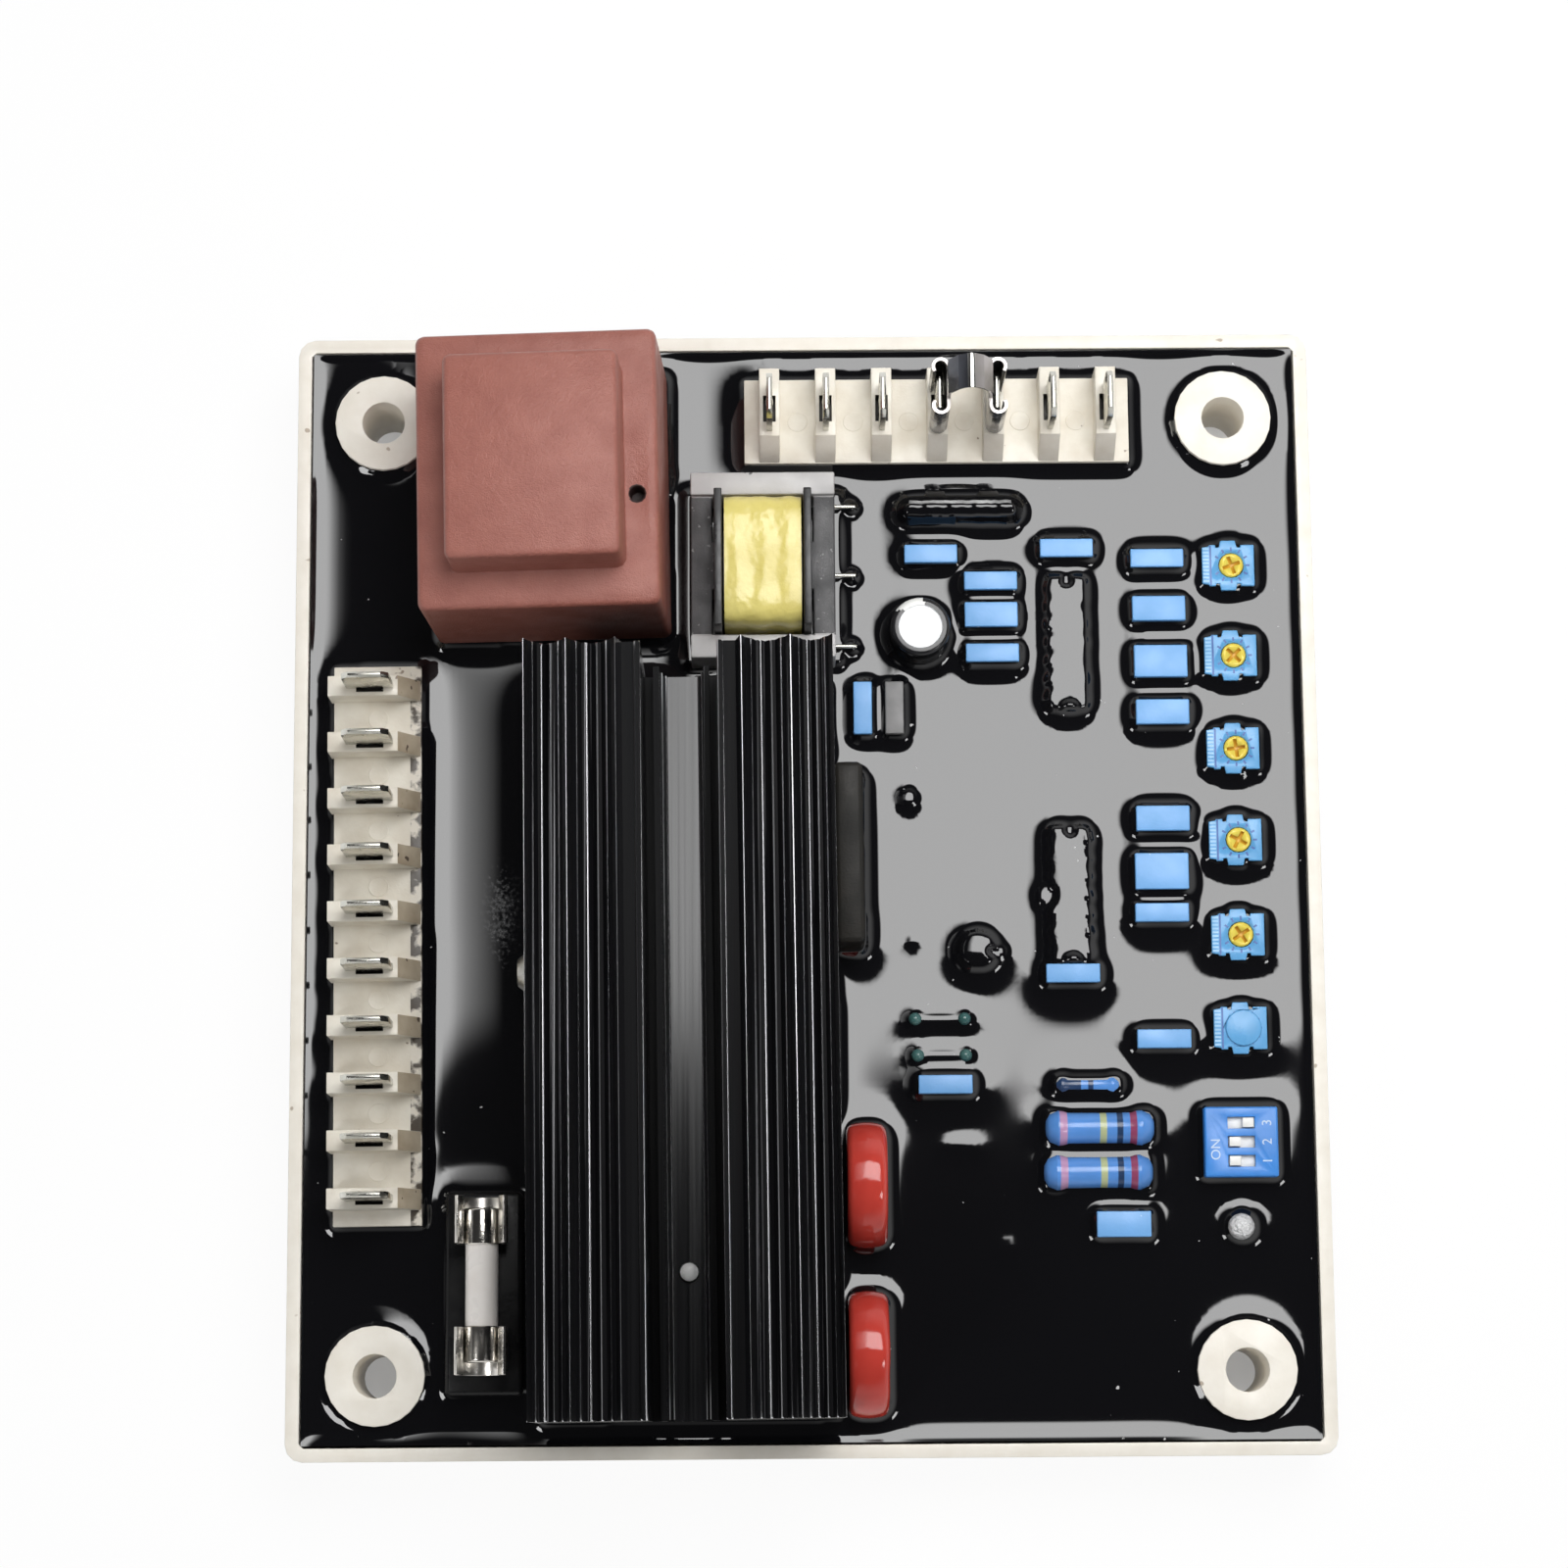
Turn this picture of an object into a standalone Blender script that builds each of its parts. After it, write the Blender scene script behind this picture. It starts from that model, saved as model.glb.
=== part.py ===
"""A potted automatic voltage regulator: tray, circuit board, resin and the parts that stand out of it.

Lengths below are in millimetres and become metres when a mesh is written. The tray's underside is at
height 0, +Z points up out of the resin and +Y towards the long row of tabs.
"""

import math

import bmesh
import bpy
from mathutils import Matrix, Vector

MM = 0.001
QUARTER_TURN = 90.0

# Fits
SEAT_GAP = 0.3
POCKET_GAP = 0.3
RUNNING_GAP = 0.15
OVERSHOOT = 1.0

# Tray: its inner size is worked out below, from the parts that stand in a row across it and along it
DRAWN_X = 135.0
DRAWN_Y = 148.7
TRAY_WALL = 1.8
TRAY_FLOOR = 2.0
TRAY_HEIGHT = 15.4
TRAY_OUTER_CORNER = 2.3
TRAY_INNER_CORNER = 0.6
POST_INSET_X = 10.0
POST_INSET_REAR = 10.15
POST_INSET_FRONT = 9.35
POST_RADIUS = 6.6
POST_BORE_RADIUS = 2.9
POST_RISE = 1.6
SHOULDER_RADIUS = 8.6
SHOULDER_TOP = 7.1
POST_STEPS = 24
SHOULDER_STEPS = 12

# Circuit board
BOARD_MARGIN = 2.2
BOARD_THICKNESS = 1.6
BOARD_LOW = SHOULDER_TOP + SEAT_GAP
BOARD_TOP = BOARD_LOW + BOARD_THICKNESS
PART_LOW = BOARD_TOP + SEAT_GAP

# Resin
RESIN_TOP = 14.6
COLLAR_RISE = 0.9
COLLAR_SPREAD = 1.7
COLLAR_LIP = 0.25
MOUND_SINK = 0.3
WALL_CREEP_RISE = 0.6
WALL_CREEP_FOOT = 1.8
WALL_CREEP_LIP = 0.4

# Red-brown transformer, standing a little crooked
CASE_POST_GAP = 0.9
CASE_WALL_GAP = 3.6
CASE_SIZE_X = 31.8
CASE_SIZE_Y = 37.1
CASE_TOP = RESIN_TOP + 23.0
CASE_TURN = 1.0
CASE_LEAN = -2.3
CASE_EDGE = 0.9
CAP_SIZE_X = 22.8
CAP_SIZE_Y = 27.3
CAP_RISE = 8.3
VENT_X = 13.1
VENT_Y = -3.9
VENT_RADIUS = 1.0
VENT_DEPTH = 3.0

# Ferrite transformer
CORE_CASE_GAP = 1.93
CORE_STRIP_GAP = 3.04
CORE_Z = 20.1
CORE_SIZE_X = 19.4
CORE_SIZE_Y = 25.4
CORE_YOKE_HALF_HEIGHT = 3.2
CORE_LEG_EXTRA = 0.8
CORE_LEG_WIDTH = 3.1
CORE_YOKE_WIDTH = 2.9
CENTRE_LEG_WIDTH = 6.5
FORMER_WALL = 0.9
FLANGE_THICKNESS = 1.05
FLANGE_TOP = 29.4
WINDING_HALF_HEIGHT = 8.9
WINDING_STEPS = 28
PIN_RAIL_TOP = 15.7
PIN_RAIL_SPREAD = 0.9
PIN_INSET_Y = 3.0
PIN_RADIUS = 0.45
PIN_LENGTH = 1.9
PIN_HEIGHT = 15.0

# Heat sink, an extrusion cut to length
SINK_CORE_GAP = 2.36
SINK_FRONT_GAP = 3.15
SINK_TURN = 0.5
SINK_LENGTH = 98.4
SINK_HALF_WIDTH = 19.7
SINK_TIP = RESIN_TOP + 35.5
SINK_PEAKS = (8.0, 14.3, 19.7)
SINK_RIDGE_COUNT = 5
SINK_VALLEY_DEPTH = 3.9
SINK_TOOTH_DEPTH = 0.55
SINK_LEDGE_X = 7.3
SINK_LEDGE_DROP = 3.6
SINK_LIP_OUTER_X = 5.7
SINK_LIP_DROP = 3.0
CHANNEL_HALF_WIDTH = 4.9
CHANNEL_FLOOR = RESIN_TOP + 8.0
CHANNEL_RIB_X = 3.3
CHANNEL_RIB_WIDTH = 0.8
CHANNEL_RIB_RISE = 7.4
RIVET_Y = -30.0
RIVET_HEAD_RADIUS = 1.4
RIVET_SHANK_RADIUS = 0.9
RIVET_HEAD_RISE = 1.0
RIVET_SHANK_LENGTH = 4.0
SCREW_Y = 10.0
SCREW_Z = 20.0
SCREW_HEAD_RADIUS = 2.6
SCREW_HEAD_THICKNESS = 2.4
SCREW_SHANK_RADIUS = 1.5
SCREW_SHANK_LENGTH = 6.0

# Power package clamped on the right flank
PACKAGE_SIZE = (3.8, 24.2)
PACKAGE_Y = 2.9
PACKAGE_TOP = RESIN_TOP + 11.6

# Fuse
FUSE_SINK_GAP = 2.05
STRIP_FUSE_GAP = 3.6
FUSE_Y = -53.5
FUSE_LENGTH = 20.0
FUSE_TUBE_RADIUS = 2.15
FUSE_CAP_RADIUS = 2.6
FUSE_CAP_WALL = 0.25
FUSE_CAP_LENGTH = 4.7
FUSE_STEPS = 16
CLIP_THICKNESS = 0.45
CLIP_WIDTH = 6.2
CLIP_SPACING = FUSE_LENGTH - 3.0
CLIP_ARM_ANGLE = 38.0
CLIP_LIP = 1.2
HOLDER_SIZE = (10.2, FUSE_LENGTH + 6.6)
HOLDER_SHIFT_Y = -0.85
HOLDER_TOP = RESIN_TOP + 4.0

# Terminal strips
TAB_PITCH = 7.62
TAB_WIDTH = 6.3
TAB_THICKNESS = 0.8
TAB_RISE = 8.0
TAB_CORNER = 1.1
TAB_SETBACK = 5.25
STRIP_DEPTH = 11.8
STRIP_BASE_TOP = RESIN_TOP + 2.0
STRIP_RIB_RISE = 4.5
STRIP_RIB_WIDTH = 2.75
STRIP_RIB_OVERHANG = 0.4
STRIP_RIB_INSET = 0.1
STRIP_RAMP = 2.8
STRIP_SOCKET = (3.6, 1.65)
STRIP_SOCKET_DEPTH = 2.2
STRIP_END = 3.45
TOP_STRIP_TAB_COUNT = 7
TOP_STRIP_X = 18.21
TOP_STRIP_WALL_GAP = 4.55
SIDE_STRIP_TAB_COUNT = 10
SIDE_STRIP_WALL_GAP = 4.0
SIDE_STRIP_Y = -7.75
SIDE_STRIP_TURN = 0.5

# Jumper link over the fourth and fifth tab
LINK_TAB_INDEX = 3
LINK_SHEET = 0.45
LINK_CURL_RADIUS = 1.025
LINK_CURL_STEPS = 8
LINK_SLIT_ANGLE = 52.0
LINK_GRIP_LOW = 22.0
LINK_GRIP_TOP = 32.4
LINK_STRIP_HALF_WIDTH = 2.3
LINK_STRIP_SHIFT = 0.5
LINK_SHOULDER = 35.0
LINK_RIDGE = 38.4
LINK_BEND_X = 0.55
LINK_BEND_SHARE = 0.66

# Box film capacitors: X, Y, size along X, size along Y
FILM_LENGTH = 7.2
FILM_TOP = RESIN_TOP + 2.0
FILM_EDGE = 0.22
SLIM, MEDIUM, THICK, STOUT = 2.5, 3.4, 4.4, 4.9
FILM_PLACES = (
    (17.2, 45.3, SLIM),
    (25.3, 41.5, SLIM),
    (25.3, 36.8, MEDIUM),
    (25.4, 31.5, SLIM),
    (35.7, 46.0, SLIM),
    (48.0, 44.5, SLIM),
    (48.1, 37.5, MEDIUM),
    (48.2, 30.2, THICK),
    (48.3, 23.2, MEDIUM),
    (48.0, 8.6, MEDIUM),
    (47.7, 1.4, STOUT),
    (47.6, -4.2, SLIM),
    (47.5, -21.2, SLIM),
    (35.5, -12.3, SLIM),
    (18.2, -27.1, SLIM),
    (41.6, -45.8, MEDIUM),
)
UPRIGHT_FILM_SINK_GAP = 2.9
GREY_FILM_GAP = 1.8
UPRIGHT_FILM_Y = 24.0
# Neighbours that share one mound of resin, by number
FILM_GROUPS = (
    (1,), (2, 3, 4), (5,), (6,), (7,), (8,), (9,), (10, 11, 12), (13,), (14,), (15,), (16,), (17, 18),
)

# Electrolytic capacitor
CAN_X = 15.5
CAN_Y = 34.2
CAN_RADIUS = 4.05
CAN_HEIGHT = 12.0
CAN_ROLL = 0.9
CAN_DISC_RADIUS = 2.9
CAN_DISC_DROP = 0.25
CAN_STEPS = 24

# Red dipped discs
DISC_SINK_GAP = 1.3
DISC_PLACES_Y = (-40.5, -62.7)
DISC_RADIUS = 8.3
DISC_HALF_THICKNESS = 2.65
DISC_EDGE = 1.5
DISC_STEPS = 24

# Trimmers
TRIMMER_X = 57.75
TRIMMER_PLACES_Y = (43.5, 31.0, 18.2, 5.65, -7.2)
SEALED_TRIMMER_Y = -19.8
TRIMMER_TOP = RESIN_TOP + 1.4
TRIMMER_HALF_X = 3.55
TRIMMER_SIDE_Y = 2.85
TRIMMER_TAB_Y = 3.45
TRIMMER_TAB_X = 1.0
TRIMMER_NOTCH_X = 1.7
TRIMMER_NOTCH_Y = 2.5
TRIMMER_STRIP_X = -2.6
TRIMMER_STRIP_Y = 2.5
ROTOR_OFFSET_X = 0.4
ROTOR_RADIUS = 1.62
ROTOR_DEPTH = 1.3
ROTOR_PROUD = 0.1
ROTOR_STEPS = 16
ROTOR_SLOT_WIDTH = 0.5
ROTOR_SLOT_LENGTH = 2.5
ROTOR_SLOT_DEPTH = 0.55
ROTOR_ANGLES = (20.0, 45.0, 8.0, 62.0, 33.0)
SEAL_RADIUS = 2.4
SEAL_RISE = 0.35

# Three-way DIP switch
SWITCH_X = 57.3
SWITCH_Y = -35.1
SWITCH_SIZE = (9.8, 9.3)
SWITCH_TOP = RESIN_TOP + 3.0
SWITCH_EDGE = 0.2
SLIDER_PITCH = 2.53
SLIDER_TRAVEL = 1.8
KNOB_SIZE = (1.5, 1.25)
KNOB_PROUD = 0.35
SLOT_DEPTH = 0.7
PLATE_LENGTH = 5.5
PLATE_WIDTH = 1.7
PLATE_THICKNESS = 0.6

# Blue resistors, lying along X
RESISTOR_Y = -33.0
RESISTOR_PLACES_X = (38.7, 38.4)
RESISTOR_HALF_LENGTH = 7.3
RESISTOR_WAIST = 2.05
RESISTOR_END = 2.4
RESISTOR_GAP = 1.1
RESISTOR_Z = RESIN_TOP + 0.5
SMALL_RESISTOR_PLACE = (37.2, -27.2)
SMALL_RESISTOR_SCALE = 0.62
SMALL_RESISTOR_Z = RESIN_TOP - 0.2
RESISTOR_STEPS = 12

# Lamp
LAMP_X = 57.2
LAMP_Y = -46.2
LAMP_RADIUS = 1.75
LAMP_TOP = RESIN_TOP + 3.0
LAMP_STEPS = 16

# Small parts that the resin covers: each is only a swelling of its surface
CHIP_PLACES = ((35.5, 33.0), (35.3, -1.5))
CHIP_SWELLING = (5.2, 18.6)
CHIP_RISE = 1.3
CHIP_SPREAD = 2.1
RECTIFIER_PLACE = (21.2, 51.3)
RECTIFIER_SWELLING = (15.4, 2.2)
RECTIFIER_RISE = 3.4
ROUND_PART_PLACE = (22.8, -9.0)
ROUND_PART_RADIUS = 2.7
ROUND_PART_RISE = 1.5
BEAD_PLACES = ((14.3, -18.2), (20.9, -18.2), (14.6, -23.1), (21.0, -23.1))
BEAD_RADIUS = 1.1
BEAD_RISE = 1.1

# The row along the rear: post, transformer, ferrite transformer and the field of small parts
FIELD_SIZE_X = 62.57
RAIL_SIZE_X = CORE_SIZE_X + 2 * PIN_RAIL_SPREAD
CASE_LEFT = POST_INSET_X + POST_RADIUS + CASE_POST_GAP
RAIL_LEFT = CASE_LEFT + CASE_SIZE_X + CORE_CASE_GAP
TRAY_INNER_X = RAIL_LEFT + RAIL_SIZE_X + FIELD_SIZE_X
CASE_X = CASE_LEFT + CASE_SIZE_X / 2 - TRAY_INNER_X / 2
CORE_X = RAIL_LEFT + RAIL_SIZE_X / 2 - TRAY_INNER_X / 2

# The row along the tray, from the front wall: heat sink, ferrite transformer and the long row of tabs
CORE_FRONT = SINK_FRONT_GAP + SINK_LENGTH + SINK_CORE_GAP
STRIP_FRONT = CORE_FRONT + CORE_SIZE_Y + CORE_STRIP_GAP
TRAY_INNER_Y = STRIP_FRONT + STRIP_DEPTH + TOP_STRIP_WALL_GAP
SINK_Y = SINK_FRONT_GAP + SINK_LENGTH / 2 - TRAY_INNER_Y / 2
CORE_Y = CORE_FRONT + CORE_SIZE_Y / 2 - TRAY_INNER_Y / 2
CASE_Y = TRAY_INNER_Y / 2 - CASE_WALL_GAP - CASE_SIZE_Y / 2

# The row from the left wall: side row of tabs, fuse and heat sink, with what stands on its right
HOLDER_LEFT = SIDE_STRIP_WALL_GAP + STRIP_DEPTH + STRIP_FUSE_GAP
FUSE_X = HOLDER_LEFT + HOLDER_SIZE[0] / 2 - TRAY_INNER_X / 2
SINK_X = FUSE_X + HOLDER_SIZE[0] / 2 + FUSE_SINK_GAP + SINK_HALF_WIDTH
DISC_X = SINK_X + SINK_HALF_WIDTH + DISC_SINK_GAP + DISC_HALF_THICKNESS
UPRIGHT_FILM_X = SINK_X + SINK_HALF_WIDTH + UPRIGHT_FILM_SINK_GAP + SLIM / 2
GREY_FILM_X = UPRIGHT_FILM_X + SLIM + GREY_FILM_GAP
TOP_STRIP_BACK_Y = TRAY_INNER_Y / 2 - TOP_STRIP_WALL_GAP
SIDE_STRIP_X = SIDE_STRIP_WALL_GAP - TRAY_INNER_X / 2

object_collection = bpy.data.collections.new("Automatic voltage regulator")
cutter_collection = bpy.data.collections.new("Cutters")
collar_collection = bpy.data.collections.new("Resin collars")
pocket_collection = bpy.data.collections.new("Resin pockets")


def start_scene():
    """Empties the scene and hangs the four collections in it."""
    for old in list(bpy.data.objects):
        bpy.data.objects.remove(old, do_unlink=True)
    root = bpy.context.scene.collection
    for collection in (object_collection, cutter_collection, collar_collection, pocket_collection):
        root.children.link(collection)
    for collection in (cutter_collection, collar_collection, pocket_collection):
        collection.hide_render = True


def material(name, colour, roughness, metallic=0.0):
    """One plain surface for one sub-part."""
    made = bpy.data.materials.new(name)
    made.use_nodes = True
    shader = made.node_tree.nodes["Principled BSDF"]
    shader.inputs["Base Color"].default_value = (*colour, 1.0)
    shader.inputs["Roughness"].default_value = roughness
    shader.inputs["Metallic"].default_value = metallic
    return made


def block(low, high):
    """A box between two corners."""
    bm = bmesh.new()
    size = Vector(high) - Vector(low)
    centre = (Vector(high) + Vector(low)) / 2
    bmesh.ops.create_cube(bm, size=1.0, matrix=Matrix.Translation(centre) @ Matrix.Diagonal(size).to_4x4())
    return bm


def bar(radius, low, high, steps, top_radius=None):
    """A round bar or cone standing along Z."""
    bm = bmesh.new()
    top = radius if top_radius is None else top_radius
    place = Matrix.Translation((0, 0, (low + high) / 2))
    bmesh.ops.create_cone(
        bm, cap_ends=True, segments=steps, radius1=radius, radius2=top, depth=high - low, matrix=place
    )
    return bm


def upright_edges(bm):
    """The edges of a box that run along Z."""
    return [edge for edge in bm.edges if abs((edge.verts[0].co - edge.verts[1].co).z) > max(
        abs((edge.verts[0].co - edge.verts[1].co).x), abs((edge.verts[0].co - edge.verts[1].co).y))]


def round_edges(bm, edges, radius, segments=1):
    """Rounds or chamfers the edges given."""
    bmesh.ops.bevel(
        bm, geom=edges, offset=radius, offset_type="OFFSET", segments=segments, profile=0.5, affect="EDGES"
    )


def mound(size, spread, rise, corner):
    """A low swelling with sloping sides, its foot a little under the resin's level."""
    slope = spread / rise
    foot = spread + slope * MOUND_SINK
    bm = block(
        (-size[0] / 2 - foot, -size[1] / 2 - foot, RESIN_TOP - MOUND_SINK),
        (size[0] / 2 + foot, size[1] / 2 + foot, RESIN_TOP + rise),
    )
    round_edges(bm, upright_edges(bm), corner + slope * MOUND_SINK)
    upper = [vert for vert in bm.verts if vert.co.z > RESIN_TOP]
    shrink = (size[0] / (size[0] + 2 * foot), size[1] / (size[1] + 2 * foot), 1.0)
    bmesh.ops.scale(bm, verts=upper, vec=shrink)
    return bm


def prism(outline, low, high):
    """A flat outline with thickness, from a filled curve."""
    curve = bpy.data.curves.new("outline", "CURVE")
    curve.dimensions = "2D"
    curve.fill_mode = "BOTH"
    curve.extrude = (high - low) / 2
    spline = curve.splines.new("POLY")
    spline.points.add(len(outline) - 1)
    for point, (x, y) in zip(spline.points, outline):
        point.co = (x, y, 0, 1)
    spline.use_cyclic_u = True
    holder = bpy.data.objects.new("outline", curve)
    mesh = bpy.data.meshes.new_from_object(holder)
    bm = bmesh.new()
    bm.from_mesh(mesh)
    bmesh.ops.remove_doubles(bm, verts=bm.verts, dist=1e-5)
    bmesh.ops.translate(bm, verts=bm.verts, vec=(0, 0, (low + high) / 2))
    bmesh.ops.recalc_face_normals(bm, faces=bm.faces)
    bpy.data.objects.remove(holder)
    bpy.data.curves.remove(curve)
    bpy.data.meshes.remove(mesh)
    return bm


def sheet_outline(path, thickness):
    """The outline of a bent sheet whose middle line is the path."""
    left = []
    right = []
    for index, point in enumerate(path):
        before = Vector(path[max(index - 1, 0)])
        after = Vector(path[min(index + 1, len(path) - 1)])
        along = (after - before).normalized()
        across = Vector((-along.y, along.x)) * thickness / 2
        left.append(tuple(Vector(point) + across))
        right.append(tuple(Vector(point) - across))
    return left + right[::-1]


def write_object(name, bm, collection, x=0.0, y=0.0, z=0.0, turn=(0.0, 0.0, 0.0), surface=None, smooth=None):
    """Turns millimetres into metres, makes the object and gives it its place and surface."""
    bmesh.ops.scale(bm, verts=bm.verts, vec=(MM, MM, MM))
    bmesh.ops.recalc_face_normals(bm, faces=bm.faces)
    mesh = bpy.data.meshes.new(name)
    bm.to_mesh(mesh)
    bm.free()
    obj = bpy.data.objects.new(name, mesh)
    collection.objects.link(obj)
    obj.location = (x * MM, y * MM, z * MM)
    obj.rotation_euler = [math.radians(angle) for angle in turn]
    if surface:
        obj.data.materials.append(surface)
    if smooth:
        obj.data.shade_smooth()
        obj.data.set_sharp_from_angle(angle=math.radians(smooth))
    if collection is not object_collection:
        obj.display_type = "WIRE"
    return obj


def part(name, bm, surface, x=0.0, y=0.0, z=0.0, turn=(0.0, 0.0, 0.0), smooth=None):
    """A sub-part of the regulator."""
    return write_object(name, bm, object_collection, x, y, z, turn, surface, smooth)


def combine(target, bm, operation, x=0.0, y=0.0, z=0.0, turn=(0.0, 0.0, 0.0)):
    """Adds to or cuts from the target with one tool body."""
    label = target.name + " " + operation.lower() + " " + str(len(target.modifiers) + 1)
    tool = write_object(label, bm, cutter_collection, x, y, z, turn)
    modifier = target.modifiers.new(label, "BOOLEAN")
    modifier.operation = operation
    modifier.solver = "EXACT"
    modifier.object = tool
    return tool


def turned(name, profile, steps, surface, x, y, z, turn=(0.0, 0.0, 0.0)):
    """A round piece from half its section, given from the top of the axis down the outer side."""
    mesh = bpy.data.meshes.new(name)
    bm = bmesh.new()
    verts = [bm.verts.new((radius * MM, 0, height * MM)) for radius, height in profile]
    for first, second in zip(verts, verts[1:]):
        bm.edges.new((first, second))
    bm.to_mesh(mesh)
    bm.free()
    obj = bpy.data.objects.new(name, mesh)
    object_collection.objects.link(obj)
    obj.location = (x * MM, y * MM, z * MM)
    obj.rotation_euler = [math.radians(angle) for angle in turn]
    obj.data.materials.append(surface)
    screw = obj.modifiers.new("Turn", "SCREW")
    screw.axis = "Z"
    screw.steps = steps
    screw.render_steps = steps
    screw.use_merge_vertices = True
    screw.merge_threshold = 1e-6
    screw.use_smooth_shade = False
    return obj


def collar(size, x, y, turn=0.0):
    """Resin climbing the sides of something square."""
    lip = (size[0] + 2 * (POCKET_GAP + COLLAR_LIP), size[1] + 2 * (POCKET_GAP + COLLAR_LIP))
    spread = COLLAR_SPREAD - POCKET_GAP - COLLAR_LIP
    bm = mound(lip, spread, COLLAR_RISE, spread)
    write_object("collar", bm, collar_collection, x, y, turn=(0, 0, turn))


def round_collar(radius, x, y, steps=12):
    """Resin climbing the side of something round."""
    foot = radius + COLLAR_SPREAD
    lip = radius + POCKET_GAP + COLLAR_LIP
    swelling(foot, lip, COLLAR_RISE, x, y, steps)


def swelling(foot, lip, rise, x, y, steps):
    """A round mound of resin."""
    slope = (foot - lip) / rise
    bm = bar(foot + slope * MOUND_SINK, RESIN_TOP - MOUND_SINK, RESIN_TOP + rise, steps, lip)
    write_object("round collar", bm, collar_collection, x, y)


def pocket(size, x, y, low=BOARD_TOP, turn=0.0):
    """Room in the resin for something square that stands on the board."""
    half_x = size[0] / 2 + POCKET_GAP
    half_y = size[1] / 2 + POCKET_GAP
    bm = block((-half_x, -half_y, low), (half_x, half_y, RESIN_TOP + 3 * OVERSHOOT))
    write_object("pocket", bm, pocket_collection, x, y, turn=(0, 0, turn))


def round_pocket(radius, x, y, low=BOARD_TOP, steps=16):
    """Room in the resin for something round that stands on the board."""
    bm = bar(radius + POCKET_GAP, low, RESIN_TOP + 3 * OVERSHOOT, steps)
    write_object("round pocket", bm, pocket_collection, x, y)


def across(x):
    """A drawn place across the tray, which keeps its share of the tray's width."""
    return x * TRAY_INNER_X / DRAWN_X


def along(y):
    """A drawn place along the tray, which keeps its share of the tray's length."""
    return y * TRAY_INNER_Y / DRAWN_Y


def post_places():
    """The four posts, seen from above."""
    x = TRAY_INNER_X / 2 - POST_INSET_X
    for y in (POST_INSET_FRONT - TRAY_INNER_Y / 2, TRAY_INNER_Y / 2 - POST_INSET_REAR):
        yield -x, y
        yield x, y


def make_tray():
    """A shallow moulded box with four bored posts, each with a shoulder for the board."""
    half_x = TRAY_INNER_X / 2
    half_y = TRAY_INNER_Y / 2
    outer_x = half_x + TRAY_WALL
    outer_y = half_y + TRAY_WALL
    outside = block((-outer_x, -outer_y, 0), (outer_x, outer_y, TRAY_HEIGHT))
    round_edges(outside, upright_edges(outside), TRAY_OUTER_CORNER, 3)
    tray = part("tray", outside, material("cream moulding", (0.86, 0.82, 0.70), 0.5))
    hollow = block((-half_x, -half_y, TRAY_FLOOR), (half_x, half_y, TRAY_HEIGHT + OVERSHOOT))
    round_edges(hollow, upright_edges(hollow), TRAY_INNER_CORNER)
    combine(tray, hollow, "DIFFERENCE")
    for x, y in post_places():
        combine(tray, bar(SHOULDER_RADIUS, TRAY_FLOOR / 2, SHOULDER_TOP, SHOULDER_STEPS), "UNION", x, y)
        combine(tray, bar(POST_RADIUS, TRAY_FLOOR / 2, RESIN_TOP + POST_RISE, POST_STEPS), "UNION", x, y)
        bore = bar(POST_BORE_RADIUS, -OVERSHOOT, RESIN_TOP + POST_RISE + OVERSHOOT, POST_STEPS)
        combine(tray, bore, "DIFFERENCE", x, y)


def make_circuit_board():
    """The board that carries every part, drilled for the posts."""
    half_x = TRAY_INNER_X / 2 - BOARD_MARGIN
    half_y = TRAY_INNER_Y / 2 - BOARD_MARGIN
    slab = block((-half_x, -half_y, BOARD_LOW), (half_x, half_y, BOARD_TOP))
    board = part("circuit_board", slab, material("board laminate", (0.10, 0.22, 0.10), 0.5))
    for x, y in post_places():
        hole = bar(POST_RADIUS + POCKET_GAP, BOARD_LOW - OVERSHOOT, BOARD_TOP + OVERSHOOT, POST_STEPS)
        combine(board, hole, "DIFFERENCE", x, y)


def make_resin():
    """The potting: a block that fills the tray, with a mound round each part and room for each part."""
    half_x = TRAY_INNER_X / 2 - SEAT_GAP
    half_y = TRAY_INNER_Y / 2 - SEAT_GAP
    low = TRAY_FLOOR + SEAT_GAP
    bm = block((-half_x, -half_y, low), (half_x, half_y, RESIN_TOP + WALL_CREEP_RISE))
    top = max(bm.faces, key=lambda face: face.calc_center_median().z)
    bmesh.ops.inset_region(bm, faces=[top], thickness=WALL_CREEP_LIP)
    creep = WALL_CREEP_FOOT - WALL_CREEP_LIP
    bmesh.ops.inset_region(bm, faces=[top], thickness=creep, depth=-WALL_CREEP_RISE)
    resin = part("potting_resin", bm, material("potting resin", (0.012, 0.012, 0.014), 0.08))
    for x, y in post_places():
        round_collar(POST_RADIUS, x, y, SHOULDER_STEPS)
        round_pocket(POST_RADIUS, x, y, TRAY_FLOOR, POST_STEPS)
        shoulder_room = bar(SHOULDER_RADIUS + POCKET_GAP, TRAY_FLOOR, BOARD_LOW, SHOULDER_STEPS)
        write_object("shoulder room", shoulder_room, pocket_collection, x, y)
    board_x = TRAY_INNER_X / 2 - BOARD_MARGIN + POCKET_GAP
    board_y = TRAY_INNER_Y / 2 - BOARD_MARGIN + POCKET_GAP
    room_low = BOARD_LOW - POCKET_GAP
    room_top = BOARD_TOP + POCKET_GAP
    board_room = block((-board_x, -board_y, room_low), (board_x, board_y, room_top))
    write_object("board room", board_room, pocket_collection)
    for operation, collection in (("UNION", collar_collection), ("DIFFERENCE", pocket_collection)):
        modifier = resin.modifiers.new(collection.name, "BOOLEAN")
        modifier.operation = operation
        modifier.solver = "EXACT"
        modifier.operand_type = "COLLECTION"
        modifier.collection = collection


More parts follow.
